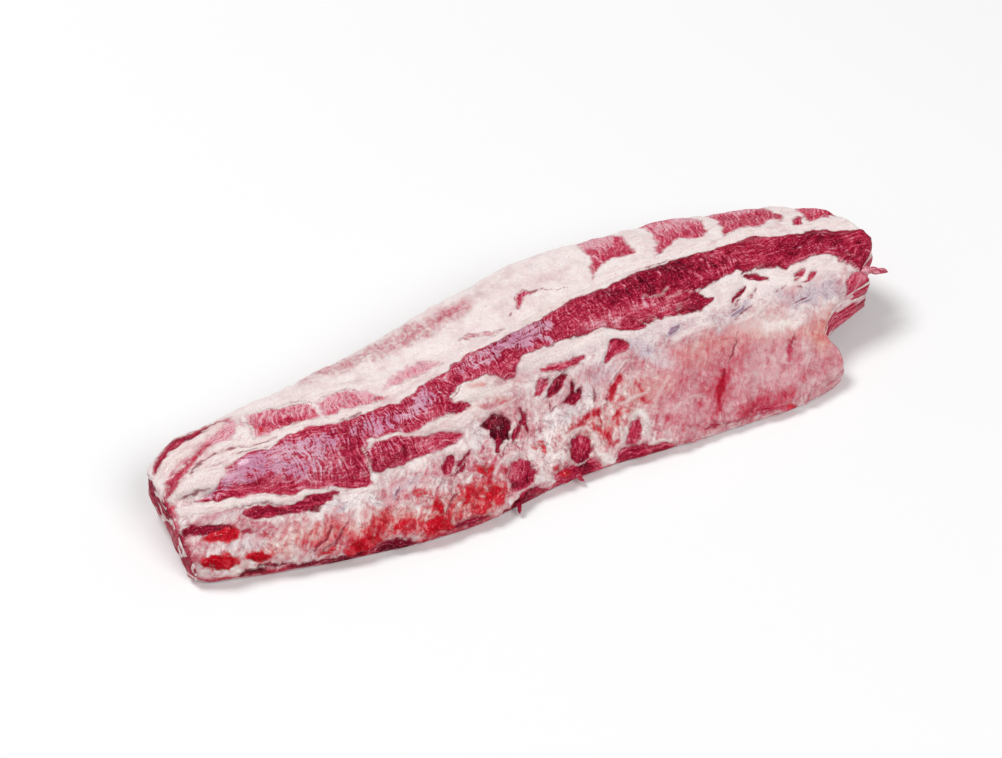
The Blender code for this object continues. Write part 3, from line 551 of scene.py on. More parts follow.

# Softer changes laid over those: what changes, by how much, how soft the border is, and its shape.
#   red: blood in the fat     milky: lilac-grey skin      busy: mottling         warm: orange
#   tone: paler or darker lean     sheen: silverskin with painted sheen     cross: threads across the grain
WASHES = (
    # the white and pink grounds
    ("red", 0.30, 0.5, (
        (-20, -1), (-20, 3.4), (-15.4, 2.9), (-10, 3.0), (-5, 4.3), (-2.5, 5.0), (0.5, 4.6),
        (5, 5.3), (7.6, 5.0), (8.2, 5.3), (10.5, 5.4), (12, 5.0), (14.8, 4.1), (16, 4.7),
        (18.5, 4.6), (20, -1),
    )),
    ("red", 0.18, 0.7, (
        (5.6, 0), (6.1, 2.2), (7.2, 4), (8, 5.1), (9, 5.4), (10.4, 5.3), (11.4, 4.3), (14.7, 4),
        (17.4, 4.5), (17.6, 0),
    )),
    ("red", 0.08, 0.5, ((8.2, 4.5), (10.2, 4.3), (10.6, 2.4), (9, 2.2), (7.4, 3.2))),
    ("red", -0.14, 0.3, ((8.4, 5.0, 0.3), (10, 5.0, 0.3))),
    ("red", -0.06, 0.5, ((13, 3.4, 0.6), (14.6, 4.6, 0.5), (13.4, 5.0, 0.5))),
    ("red", -0.08, 0.5, ((11.9, 5.2), (14, 5.1), (14.6, 4.4), (13.4, 4.6), (12, 4.8))),
    ("red", -0.08, 0.3, ((10.6, 5.7, 0.2), (11.6, 5.6, 0.2))),
    ("red", 0.12, 0.3, ((14.9, 2.2, 0.15), (15.3, 2.8, 0.2), (15.6, 3.3, 0.15))),
    ("red", 0.12, 0.5, ((11.4, 5.3, 0.4), (13, 5.2, 0.4), (14.4, 5.2, 0.3))),
    ("red", 0.13, 0.3, ((9.0, 1.0, 0.25), (9.4, 1.9, 0.3), (9.9, 2.5, 0.3), (10.4, 3.2, 0.15))),
    ("red", 0.24, 0.3, ((10.4, 0.8, 0.4), (12.6, 0.9, 0.4), (13.4, 1.3, 0.2))),
    ("red", 0.10, 0.4, ((10.4, 3.2, 0.3), (11, 3.6, 0.4), (11.6, 4.5, 0.25))),
    ("red", 0.10, 0.3, ((13.6, 2.3, 0.3), (14.2, 3.1, 0.2), (14.8, 3.7, 0.2))),
    ("red", -0.08, 0.5, ((11.6, 2.8, 0.8), (13, 2.6, 1.0), (15, 2.6, 1.2))),
    ("red", -0.10, 0.4, ((14.6, 2.6, 0.4), (15.6, 3.0, 0.5))),
    ("red", -0.10, 0.3, ((14.2, 0.9, 0.25), (15.2, 1.1, 0.3), (16, 1.6, 0.2))),
    ("warm", 0.8, 0.6, ((15.9, 3.2, 0.4), (16.6, 3.8, 0.6), (17.2, 4.6, 0.3))),
    ("red", 0.10, 0.3, ((16, 3.4, 0.15), (16.5, 3.3, 0.15))),
    ("warm", 0.7, 0.8, ((8.6, 4.6, 0.5), (11.6, 4.8, 0.5), (14, 4.7, 0.7), (16, 3.4, 0.6))),
    ("warm", 0.6, 0.8, ((0.8, 2.6, 0.3), (3, 2.2, 1.0), (5, 3.2, 0.9), (6.6, 3.6, 0.6))),
    ("warm", 0.8, 0.8, ((-16.6, 0.5, 0.3), (-13.4, 1.7, 0.5), (-10, 1.4, 0.7), (-4, 1.4, 0.8))),
    ("red", 0.18, 0.5, ((-12.4, 0.9, 0.4), (-9, 1.2, 0.7), (-6, 1.4, 0.8), (-3.6, 1.6, 0.9))),
    ("red", 0.50, 0.22, (
        (-18.2, -0.1, 0.25), (-13, -0.05, 0.3), (-8, -0.05, 0.35), (-3, -0.05, 0.35),
        (0, -0.1, 0.3), (6, -0.1, 0.25),
    )),
    ("red", 0.20, 0.3, ((-11, 0.6, 0.3), (-9, 0.9, 0.3), (-7, 0.8, 0.4), (-4.4, 0.9, 0.3))),
    ("warm", 0.4, 0.6, ((2, 9.4, 0.2), (4.2, 9.2, 0.3), (6, 9.8, 0.2))),
    # pink under the edge of the strap and on the cover
    ("red", 0.30, 0.2, ((-2.9, 5.5, 0.12), (-2, 5.6, 0.18), (-1.2, 5.4, 0.12), (-0.4, 5.2, 0.06))),
    ("red", 0.34, 0.2, ((-2.8, 6.9, 0.1), (-2.1, 6.75, 0.16))),
    ("warm", 0.9, 0.4, ((-2.9, 5.6, 0.3), (-2.4, 6.8, 0.3), (-1, 5.4, 0.2))),
    ("red", 0.24, 0.25, ((-1.6, 6.9, 0.1), (-0.8, 7.0, 0.25), (-0.2, 7.1, 0.25))),
    ("red", 0.10, 0.3, ((-3.8, 6.0, 0.1), (-3.2, 6.6, 0.1), (-2.6, 7.0, 0.1))),
    ("red", 0.22, 0.2, ((-1.1, 6.7, 0.3), (-0.3, 6.5, 0.3), (0.2, 6.3, 0.15))),
    ("red", 0.16, 0.18, (
        (0.3, 7.1, 0.1), (1.6, 7.1, 0.1), (2.8, 6.95, 0.1), (4, 6.9, 0.08), (4.8, 7.05, 0.05),
    )),
    ("red", 0.22, 0.2, ((3.2, 9.4, 0.1), (4.3, 9.4, 0.15), (5, 9.3, 0.1))),
    ("red", 0.30, 0.5, (
        (-9.6, 10.9, 0.4), (-8, 11.0, 0.6), (-6.4, 11.3, 0.8), (-4.6, 11.6, 0.9), (-2.8, 12.0, 0.8),
        (-1, 12.2, 0.6),
    )),
    ("busy", 0.35, 0.5, (
        (-9.6, 10.9, 0.4), (-8, 11.0, 0.6), (-6.4, 11.3, 0.8), (-4.6, 11.6, 0.9), (-2.8, 12.0, 0.8),
        (-1, 12.2, 0.6),
    )),
    ("red", 0.18, 0.8, ((-2.6, 12.2, 0.4), (0, 12.6, 0.4), (2.5, 13.2, 0.4))),
    ("red", 0.16, 0.5, ((-8.6, 9.2, 0.1), (-7, 9.7, 0.1), (-5, 10.2, 0.1))),
    ("red", 0.10, 0.5, ((-2, 9.6, 0.2), (0, 9.3, 0.3), (2, 9.2, 0.2))),
    ("red", 0.10, 0.5, ((1.4, 10.0, 0.2), (3.4, 11.2, 0.3), (5.6, 11.8, 0.3))),
    ("red", 0.22, 0.3, ((16.9, 9.7, 0.15), (17.3, 9.9, 0.3), (17.4, 10.5, 0.2))),
    ("red", 0.32, 0.25, ((-18.2, 6.6, 0.15), (-17.2, 7.2, 0.18), (-16.2, 7.8, 0.15))),
    ("red", 0.35, 0.35, ((-15.7, 7.3, 0.2), (-15, 8, 0.5), (-14.2, 8.6, 0.35), (-13.9, 9.2, 0.2))),
    ("red", 0.40, 0.3, (
        (-18.5, 5.2, 0.2), (-18.2, 6.0, 0.2), (-17.4, 6.5, 0.25), (-16.4, 7.1, 0.2),
        (-15.4, 7.6, 0.2),
    )),
    ("red", 0.40, 0.25, (
        (-17.0, 7.7, 0.1), (-15.8, 8.2, 0.2), (-14.8, 8.7, 0.22), (-13.9, 9.0, 0.15),
    )),
    ("red", 0.16, 0.3, ((-9.4, 7.2, 0.1), (-6, 7.7, 0.2), (-4, 8.2, 0.2))),
    ("red", 0.14, 0.25, ((-6, 5.2, 0.2), (-4.6, 5.2, 0.25), (-3.4, 5.3, 0.2))),
    ("red", 0.36, 0.2, (
        (-16.4, 6.45, 0.1), (-15.2, 6.75, 0.14), (-14.0, 6.8, 0.12), (-12.6, 6.85, 0.08),
    )),
    ("red", -0.25, 0.3, ((-14.5, 6.9, 0.1), (-14.2, 7.6, 0.2), (-13.8, 8.3, 0.1))),
    ("red", 0.45, 0.12, ((-13.3, 7.5, 0.1), (-13.0, 7.5, 0.25))),
    ("red", 0.52, 0.25, ((-17.9, 3.4, 0.2), (-16.5, 3.4, 0.22), (-15.6, 3.5, 0.12))),
    ("milky", 0.4, 0.2, ((-17.5, 3.4, 0.2), (-16.5, 3.4, 0.2), (-15.6, 3.5, 0.12))),
    # whites between the ribs
    ("red", -0.16, 0.3, ((-16.4, 1.9, 0.3), (-15, 1.7, 0.35))),
    ("milky", 0.5, 0.3, ((-16.4, 1.8, 0.3), (-15, 1.7, 0.35))),
    ("red", -0.16, 0.2, ((-14.5, 0.9, 0.15), (-14.4, 2, 0.2))),
    ("red", -0.30, 0.25, ((-12.1, 2.7, 0.2), (-11, 3.0, 0.35), (-9.4, 2.9, 0.45))),
    ("milky", 0.55, 0.3, ((-12, 2.7, 0.2), (-10.6, 3.0, 0.3), (-9.3, 2.8, 0.3))),
    ("milky", 1.4, 0.1, ((-11.4, 2.5, 0.06), (-10.9, 2.6, 0.08))),
    ("red", -0.08, 0.3, ((-14.6, 1.5, 0.3), (-13.6, 1.7, 0.3))),
    ("red", 0.12, 0.2, ((-13, 2.3, 0.15), (-12.2, 2.1, 0.2))),
    ("red", -0.10, 0.2, ((-18.2, 0.55, 0.15), (-16.5, 0.6, 0.2))),
    ("red", 0.30, 0.25, ((-18.6, 1.0, 0.2), (-18.5, 1.9, 0.2), (-18.4, 3, 0.2))),
    ("red", 0.26, 0.25, ((-16.2, 2.9, 0.15), (-15.6, 2.75, 0.2), (-14.6, 2.7, 0.15))),
    ("red", 0.26, 0.35, ((-10.1, 0.7, 0.3), (-9.6, 1.4, 0.5), (-8.9, 2.2, 0.2))),
    ("red", 0.26, 0.4, ((-13.2, 1.2, 0.3), (-12, 1.7, 0.6), (-11.2, 2.0, 0.3))),
    ("red", 0.14, 0.4, ((-7.4, 1.2, 0.3), (-6, 1.4, 0.5), (-5.4, 2.2, 0.3))),
    ("red", 0.08, 0.3, ((-9, 3.6, 0.2), (-8.4, 3.2, 0.3), (-7, 3.6, 0.2))),
    ("milky", 0.7, 0.25, ((-8.4, 2.7, 0.2), (-8, 3.1, 0.15), (-7.2, 3.2, 0.2))),
    ("milky", 1.1, 0.1, ((-8.3, 2.6, 0.06), (-8.15, 2.95, 0.1), (-7.95, 3.05, 0.06))),
    ("red", -0.18, 0.25, ((-8.4, 2.1, 0.3), (-7.6, 2.0, 0.3))),
    ("red", -0.16, 0.25, ((-6.3, 2.9, 0.2), (-5.7, 2.4, 0.25), (-5.6, 1.6, 0.15))),
    ("milky", 0.5, 0.3, ((-6.4, 3.2, 0.2), (-5.8, 2.5, 0.2))),
    ("red", 0.20, 0.3, ((-4.7, 1.0, 0.3), (-4.2, 1.8, 0.3), (-3.8, 2.4, 0.3))),
    ("red", -0.34, 0.18, ((-4.7, 2.5, 0.14), (-4.1, 2.2, 0.16))),
    ("red", 0.12, 0.3, ((-3.2, 3.1, 0.3), (-2.8, 2.5, 0.2))),
    ("red", -0.22, 0.2, ((-3.6, 4.0, 0.3), (-3.3, 4.8, 0.3), (-4.2, 4.0, 0.15))),
    ("milky", 0.5, 0.3, ((-3.6, 4.0, 0.3), (-3.2, 4.6, 0.3))),
    ("red", -0.14, 0.2, (
        (-1, 2.6, 0.15), (-0.75, 2, 0.2), (-0.9, 1.4, 0.2), (-0.5, 0.8, 0.2), (-0.2, 0.3, 0.2),
    )),
    ("red", -0.22, 0.4, ((0.2, 2.9, 0.4), (0.6, 3.5, 0.5), (1.6, 3.4, 0.3), (2.6, 3.6, 0.2))),
    ("milky", 0.55, 0.5, ((0.2, 2.9, 0.3), (1, 3.4, 0.5), (3.3, 4.2, 0.4), (4.3, 5, 0.3))),
    ("red", -0.12, 0.3, ((2.8, 3.8, 0.3), (3.6, 4.2, 0.3))),
    ("red", -0.16, 0.2, ((1.5, 4.5, 0.05), (1.9, 4.8, 0.06), (2.2, 5, 0.05))),
    ("red", -0.22, 0.15, ((0.1, 1.3, 0.12), (0.5, 1.7, 0.2), (1.1, 2.25, 0.15), (1.7, 2.5, 0.1))),
    ("red", -0.22, 0.12, ((2.3, 2.1, 0.1), (2.45, 1.8, 0.12), (2.2, 1.3, 0.15), (2, 1.1, 0.1))),
    ("red", -0.30, 0.12, ((5.1, 1.3, 0.1), (5.35, 1.6, 0.14), (5.35, 2.1, 0.18), (5.1, 2.4, 0.1))),
    ("red", -0.22, 0.15, ((2.4, 1.0, 0.1), (2.7, 0.6, 0.2), (2.95, 0.3, 0.15))),
    ("red", 0.25, 0.2, ((3.6, 2.0, 0.15), (4.1, 2.5, 0.2), (4.6, 2.5, 0.1))),
    ("red", 0.12, 0.4, ((4.8, 2.9, 0.3), (5.4, 3.3, 0.5), (6.4, 3.8, 0.4))),
    ("red", -0.14, 0.3, ((6.5, 5.2, 0.3), (7.4, 4.6, 0.25), (7.3, 5.6, 0.3))),
    ("red", 0.12, 0.2, ((7, 4.9, 0.1), (7.5, 5.3, 0.1))),
    ("milky", 0.6, 0.3, ((5.7, 6.4, 0.1), (6.4, 6.0, 0.3), (6.8, 5.4, 0.3), (7.2, 4.6, 0.2))),
    ("milky", 0.35, 0.4, ((0, 6.6, 0.3), (4, 6.4, 0.3), (9, 6.1, 0.3), (10.6, 6.0, 0.3))),
    ("milky", 0.5, 0.4, ((10.6, 5.4, 0.3), (11.6, 5.7, 0.4), (12.2, 6.2, 0.2))),
    ("milky", 0.5, 0.3, ((13.6, 6.6, 0.2), (14.6, 6.4, 0.3), (15.4, 5.2, 0.3))),
    ("milky", 0.75, 0.5, ((15.2, 4.9, 0.3), (16.2, 5.4, 0.5), (17.4, 5.6, 0.6), (18.4, 6.3, 0.4))),
    ("red", 0.14, 0.3, ((14.7, 5.6, 0.15), (15.5, 6.0, 0.3), (15.9, 6.2, 0.1))),
    ("red", 0.10, 0.3, ((14.2, 5.4, 0.15), (14.8, 4.8, 0.2))),
    ("red", 0.14, 0.3, ((17.9, 5.2, 0.2), (18.6, 5.8, 0.15), (19, 6.3, 0.1))),
    ("red", 0.18, 0.3, ((18.2, 5.4, 0.2), (18.8, 6.2, 0.2), (19.2, 6.6, 0.2))),
    ("milky", 1.3, 0.15, ((12, 5.7, 0.08), (12.6, 6.0, 0.18), (13.2, 6.35, 0.1))),
    ("milky", 2.0, 0.10, ((8.2, 5.65, 0.06), (8.6, 5.85, 0.18), (9, 5.95, 0.08))),
    ("milky", 1.2, 0.12, ((15.9, 5.5, 0.08), (16.2, 5.35, 0.08))),
    ("milky", 0.9, 0.12, ((6.0, 6.7, 0.04), (6.6, 6.3, 0.1))),
    ("milky", 0.7, 0.15, ((6.2, 5.2, 0.05), (6.7, 5.1, 0.12), (7.2, 5.4, 0.05))),
    ("busy", 0.30, 0.8, (
        (-10.5, 0.6, 0.5), (-8, 1.6, 1.2), (-3, 2.5, 1.8), (1, 2.2, 1.4), (4.6, 2.2, 1.2),
    )),
    ("busy", 0.15, 0.8, ((-17.6, 1.3, 0.8), (-12, 2, 1))),
    ("busy", -0.18, 0.6, ((6.6, 2.4, 1.4), (9, 3, 2.2), (12, 3, 2.4), (15.4, 2.8, 2))),
    ("busy", -0.20, 0.5, ((11.6, 5.1, 0.4), (13, 5.0, 0.5), (15.4, 4.8, 0.5))),
    ("red", 0.10, 0.5, ((6.4, 2.4, 0.3), (7, 3.0, 0.5), (7.6, 3.6, 0.3))),
    ("red", 0.10, 0.4, ((9.8, 1.4, 0.2), (10, 2.0, 0.3))),
    ("red", 0.12, 0.4, ((14.2, 1.5, 0.3), (15, 1.8, 0.4), (15.8, 2.1, 0.2))),
    ("red", -0.07, 0.4, ((9, 4.4, 0.4), (10, 4.6, 0.4))),
    ("red", 0.10, 0.3, ((18.2, 6.2, 0.3), (18.9, 6.5, 0.3))),
    ("red", 0.08, 0.3, ((11.6, 7.2, 0.2), (12.6, 7.2, 0.2))),
    ("red", 0.12, 0.2, ((-0.9, 2.2, 0.15), (-0.6, 1.5, 0.15))),
    ("red", 0.14, 0.3, ((-6.2, 2.9, 0.2), (-5.6, 2.5, 0.2))),
    # red flesh under thin skin
    ("red", 0.50, 0.1, ((2.3, 2.95, 0.05), (2.75, 3.1, 0.2), (3.1, 2.95, 0.2), (3.25, 3.05, 0.06))),
    ("red", 0.40, 0.12, ((1.1, 2.5, 0.05), (1.6, 2.7, 0.08), (2.2, 2.85, 0.1), (2.6, 3, 0.1))),
    ("red", 0.34, 0.1, ((2.65, 2.6, 0.08), (2.9, 2.1, 0.1), (3.05, 1.6, 0.13), (3.2, 1.2, 0.1))),
    ("red", 0.38, 0.1, ((3.05, 2.0, 0.08), (3.35, 1.4, 0.14), (3.55, 1.25, 0.05))),
    ("red", 0.40, 0.1, ((3.6, 2.4, 0.06), (4.1, 2.75, 0.08), (4.5, 2.8, 0.04))),
    ("red", 0.68, 0.1, ((4.0, 3.45, 0.08), (4.4, 3.95, 0.17), (4.85, 4.3, 0.14))),
    ("red", 0.35, 0.12, ((4.1, 3.2, 0.08), (4.6, 3.3, 0.08))),
    ("red", 0.40, 0.12, ((5.6, 3.9, 0.05), (5.7, 3.4, 0.06), (5.6, 2.9, 0.12), (5.85, 2.75, 0.1))),
    ("red", 0.25, 0.12, ((5.5, 0.9, 0.1), (5.7, 1.4, 0.12), (5.9, 2, 0.06))),
    ("red", 0.30, 0.1, ((6.25, 1.5, 0.06), (6.5, 1.75, 0.08))),
    ("red", 0.25, 0.1, ((8.2, 2.1, 0.06), (8.45, 1.85, 0.08))),
    ("red", 0.34, 0.12, (
        (9.2, 1.3, 0.08), (9.5, 1.9, 0.12), (9.75, 2.3, 0.16), (10.1, 2.8, 0.12), (10.4, 3.2, 0.08),
    )),
    ("red", 0.20, 0.3, ((0, 1.0, 0.3), (0.4, 2.1, 0.1), (1.2, 2.4, 0.05))),
    # tones, and silverskin with painted sheen, along the strap muscle
    ("tone", 0.10, 0.4, ((-15, 4.8, 0.4), (-14, 5, 0.8), (-11, 5.4, 1.2))),
    ("tone", -0.34, 0.2, ((-2.4, 1.3, 0.25), (-1.7, 1.3, 0.25))),
    ("tone", -0.28, 0.12, ((-16.6, 4.2, 0.08), (-16, 4.15, 0.12), (-15.4, 4.2, 0.05))),
    ("sheen", 0.90, 0.35, (
        (-17.4, 4.4, 0.15), (-15.8, 4.8, 0.3), (-14.6, 5.3, 0.55), (-13, 5.3, 0.8),
        (-11.4, 5.6, 0.9), (-10.3, 6.2, 0.4),
    )),
    ("sheen", -0.25, 0.2, ((-14.8, 4.6, 0.2), (-13.6, 4.8, 0.25))),
    ("tone", -0.16, 0.2, ((-14.8, 4.6, 0.15), (-13.6, 4.8, 0.2))),
    # A dark crease across the strap: painted shade
    ("tone", -0.30, 0.12, ((-13.05, 5.6, 0.05), (-12.85, 5.0, 0.1), (-12.8, 4.2, 0.06))),
    ("sheen", 0.40, 0.3, ((-12, 4.2, 0.2), (-10.4, 4.6, 0.4), (-10, 5.6, 0.5))),
    ("tone", -0.10, 0.3, ((-10.8, 4.2, 0.3), (-9.4, 4.6, 0.4), (-9.2, 6, 0.4))),
    ("sheen", 0.72, 0.35, ((-8.8, 6.2, 0.5), (-7, 6.3, 0.6), (-5.9, 6.6, 0.5), (-4.8, 7, 0.4))),
    ("sheen", 0.40, 0.2, ((-8.2, 5.0, 0.2), (-7, 5.1, 0.15))),
    ("tone", -0.22, 0.12, ((-4.4, 6.7, 0.08), (-4.2, 7.1, 0.15), (-4.3, 7.5, 0.1))),
    ("tone", -0.18, 0.12, ((-4, 6.8, 0.08), (-3.5, 7.2, 0.12), (-3, 7.6, 0.08))),
    ("tone", 0.20, 0.12, ((-2.6, 6.8, 0.1), (-2, 6.85, 0.1))),
    ("sheen", 0.70, 0.3, ((-2.8, 7.9, 0.4), (-1.2, 8.2, 0.5), (0.6, 8.3, 0.5))),
    ("tone", -0.14, 0.3, ((-2.4, 8.3, 0.15), (-1.2, 7.6, 0.2), (0.4, 7.6, 0.2))),
    ("sheen", 0.80, 0.3, ((0.6, 8.6, 0.25), (1.4, 8.5, 0.35), (2.3, 8.4, 0.25), (2.6, 8.7, 0.1))),
    ("sheen", 0.45, 0.2, ((0.4, 8.0, 0.15), (1.4, 7.8, 0.2))),
    ("sheen", 1.20, 0.1, ((1.65, 7.9, 0.1), (1.9, 7.6, 0.16), (2.25, 7.4, 0.1))),
    ("tone", 0.25, 0.15, ((0.2, 7.45, 0.06), (1.6, 7.4, 0.06), (2.6, 7.35, 0.06))),
    ("tone", -0.16, 0.5, ((6, 8.6, 0.4), (8.4, 8.9, 0.7), (10.6, 9.0, 0.6), (12, 8.8, 0.3))),
    ("tone", -0.20, 0.25, ((8.1, 8.2, 0.2), (8.7, 8.15, 0.2), (8.4, 8.8, 0.2))),
    ("tone", 0.14, 0.2, ((5, 0.4, 0.2), (6.3, 0.3, 0.2))),
    ("sheen", 0.35, 0.4, ((5.2, 8.7, 0.3), (6.5, 8.8, 0.4))),
    ("sheen", 0.45, 0.25, ((-15.4, 5.1, 0.2), (-14.5, 5.3, 0.4), (-13.8, 5.7, 0.3))),
    ("sheen", 0.28, 0.3, ((-5.6, 6.9, 0.3), (-4.8, 7.2, 0.3), (-3.2, 7.6, 0.25))),
    ("sheen", 0.32, 0.3, ((-0.6, 8.1, 0.35), (0.6, 8.1, 0.35), (2.3, 8.3, 0.35))),
    ("sheen", 0.30, 0.4, ((17, 8.6, 0.5), (19.6, 7.6, 0.6))),
    ("tone", 0.28, 0.35, ((4.4, 7.3, 0.2), (6, 7.4, 0.35), (7.8, 7.3, 0.35), (9.2, 7.1, 0.2))),
    ("sheen", 0.50, 0.08, (
        (7.9, 8.1, 0.04), (8.3, 7.87, 0.05), (8.9, 7.85, 0.07), (9.3, 8.1, 0.05),
    )),
    ("tone", 0.16, 0.2, ((9, 7.5, 0.1), (9.8, 7.5, 0.1), (10.8, 7.4, 0.1))),
    ("tone", 0.14, 0.25, ((11.2, 8.0, 0.2), (12.3, 8.1, 0.2), (13, 8.2, 0.1))),
    ("tone", 0.10, 0.25, ((13.6, 8.1, 0.2), (15.4, 8.0, 0.2), (16, 8.0, 0.1))),
    ("tone", -0.14, 0.3, ((16.2, 8.6, 0.3), (17, 8.3, 0.3), (18, 8.8, 0.4), (19.4, 8.2, 0.4))),
    ("tone", 0.20, 0.12, ((10, 8.75, 0.04), (11.2, 8.72, 0.04), (12, 8.8, 0.03))),
    ("tone", 0.20, 0.12, ((10.6, 8.3, 0.04), (12, 8.2, 0.04), (13.2, 8.3, 0.03))),
    ("tone", 0.22, 0.12, ((13.1, 8.5, 0.03), (13.8, 8.35, 0.04), (15, 8.32, 0.04))),
    ("tone", 0.24, 0.12, ((14.8, 9.55, 0.05), (15.4, 9.4, 0.05))),
    ("tone", 0.20, 0.12, ((13.2, 8.9, 0.04), (14.8, 8.95, 0.04))),
    ("tone", 0.24, 0.12, ((17, 8.0, 0.03), (17.8, 8.1, 0.04), (18.2, 8.0, 0.03))),
    ("tone", 0.28, 0.10, ((18.8, 8.95, 0.04), (19.4, 8.6, 0.05), (20, 8.3, 0.04))),
    ("tone", 0.25, 0.10, ((19.5, 8.1, 0.05), (19.9, 8.05, 0.05))),
    ("tone", 0.25, 0.2, (
        (16.4, 7.6, 0.08), (17.4, 7.62, 0.1), (18.5, 7.5, 0.08), (18.9, 7.2, 0.08),
    )),
    ("tone", -0.16, 0.2, ((20.3, 7.6, 0.15), (20.2, 6.8, 0.1))),
    # Paler upper ends of the lean patches on the cover: partly silverskin, partly painted sheen
    # where they turn away
    ("tone", 0.30, 0.6, ((7, 13.4, 0.2), (8, 13.6, 0.8), (9, 13.6, 0.3))),
    ("tone", 0.34, 0.6, ((11.2, 13.6, 0.4), (12.4, 13.4, 0.7), (13.6, 13.2, 0.5))),
    ("tone", 0.28, 0.6, ((14.8, 13.4, 0.3), (16, 13.2, 0.5), (17.2, 12.9, 0.3))),
    ("tone", -0.10, 0.3, ((6.6, 11.2, 0.2), (7.4, 11.8, 0.2), (9, 11.8, 0.2))),
    ("tone", -0.12, 0.25, ((10.2, 10.9, 0.1), (10.8, 11.6, 0.2))),
    ("tone", -0.20, 0.2, ((17.5, 13.1, 0.15), (17.8, 13.4, 0.15))),
    ("tone", -0.20, 0.25, ((-13.2, 7.7, 0.25), (-12, 7.8, 0.25), (-11, 7.8, 0.2))),
    ("tone", -0.16, 0.12, ((-13, 9.1, 0.06), (-11, 9.05, 0.08), (-10.3, 8.6, 0.06))),
    ("tone", -0.14, 0.12, ((1.1, 5.65, 0.1), (0.9, 5.5, 0.08))),
    ("tone", -0.16, 0.1, ((2.5, 4.9, 0.06), (2.5, 4.5, 0.08), (2.7, 4.3, 0.1))),
    ("tone", -0.16, 0.12, ((5.2, 6.35, 0.08), (5.9, 6.1, 0.08), (6.05, 5.85, 0.05))),
    ("tone", 0.12, 0.2, ((1.1, 6.2, 0.1), (1.9, 6.1, 0.15), (2.4, 6, 0.1))),
    ("sheen", 0.30, 0.2, ((1.1, 6.2, 0.1), (1.9, 6.1, 0.15), (5.3, 5.9, 0.1), (5.3, 6.0, 0.2))),
    ("tone", -0.20, 0.2, ((1.5, 0.9, 0.2), (1.6, 0.3, 0.3))),
    ("tone", 0.16, 0.2, ((18.3, 4.4, 0.08), (18.8, 4.9, 0.1), (19.5, 5.6, 0.1))),
    ("cross", 0.25, 0.5, ((-14, 5.2, 1.0), (-12, 5.2, 1.4))),
    ("cross", 0.7, 0.5, ((-11, 5.2, 1.6), (-9.6, 5.4, 1.6))),
    ("cross", 1.0, 0.5, ((-8.6, 5.6, 1.4), (-6, 6, 1.4), (-4.4, 6.9, 1.2))),
    ("cross", 0.8, 0.5, (
        (-2.8, 7.8, 1.0), (0.5, 8, 1.0), (5, 8.2, 1.2), (9, 8.6, 1.4), (12.5, 8.7, 1.2),
    )),
    ("cross", 0.35, 0.5, ((13, 8.8, 1.2), (19, 8.3, 1.2))),
)

# Fresh blood: how much of it covers the place, and its shape.
BLOOD = (
    (1.0, ((-17.9, 1.15, 0.2), (-17.5, 1.15, 0.35), (-17, 1.1, 0.38), (-16.7, 1, 0.25))),
    (1.0, ((-15.9, 1.2, 0.15), (-15.6, 1.1, 0.3), (-15.3, 0.95, 0.25), (-15, 1, 0.12))),
    (0.9, (
        (-17.6, 2.5, 0.10), (-17.1, 2.4, 0.25), (-16.6, 2.35, 0.34), (-16.3, 2.4, 0.3),
        (-16.1, 2.6, 0.15),
    )),
    (0.4, ((-14.7, 1.25, 0.12), (-14.5, 1.2, 0.1))),
    (0.7, ((-12.7, 0.6, 0.1), (-12.3, 0.75, 0.15), (-12, 0.8, 0.1))),
    (1.0, ((-11.3, 0.5, 0.2), (-10.9, 0.7, 0.35), (-10.3, 0.75, 0.3), (-10, 0.95, 0.15))),
    (0.2, ((-10, 0.7, 0.2), (-9.6, 1.1, 0.25), (-9.3, 1.6, 0.2))),
    (0.8, ((-9, 1.1, 0.1), (-8.6, 1.2, 0.15), (-8.3, 1.4, 0.1))),
    (0.6, ((-7.3, 2.6, 0.12), (-7, 2.5, 0.25), (-6.7, 2.5, 0.15))),
    (0.8, ((-6.6, 1.8, 0.2), (-6.4, 1.6, 0.25), (-6.5, 1.3, 0.15))),
    (0.8, ((-5.2, 1.4, 0.12), (-5, 1.7, 0.2), (-4.8, 2.1, 0.15))),
    (0.8, ((-3.9, 2.8, 0.15), (-3.6, 2.65, 0.28), (-3.3, 2.5, 0.15))),
    (0.8, ((-3.9, 1.3, 0.25), (-3.6, 1.6, 0.3), (-3.4, 1.4, 0.25), (-3.3, 1, 0.15))),
    (0.8, ((-7.3, 0.8, 0.3), (-6.8, 0.9, 0.4), (-6.4, 0.7, 0.3))),
    (0.6, ((-4.6, 0.75, 0.1), (-4, 0.85, 0.15), (-3.4, 0.8, 0.15))),
    (0.6, ((-0.8, 2.7, 0.15), (-0.5, 2.65, 0.25), (-0.4, 2.3, 0.1))),
    (0.7, ((-13.15, 7.5, 0.1), (-13.0, 7.55, 0.2))),
    (0.5, ((-18.5, 4.5, 0.12), (-18.3, 4.4, 0.12))),
    (0.7, ((-0.2, 1.3, 0.1), (0.1, 0.9, 0.2), (0.5, 0.6, 0.2))),
    (0.5, ((3.15, 1.5, 0.06), (3.35, 1.3, 0.08))),
    (0.5, ((12.9, 0.4, 0.15), (13.2, 0.15, 0.2))),
)
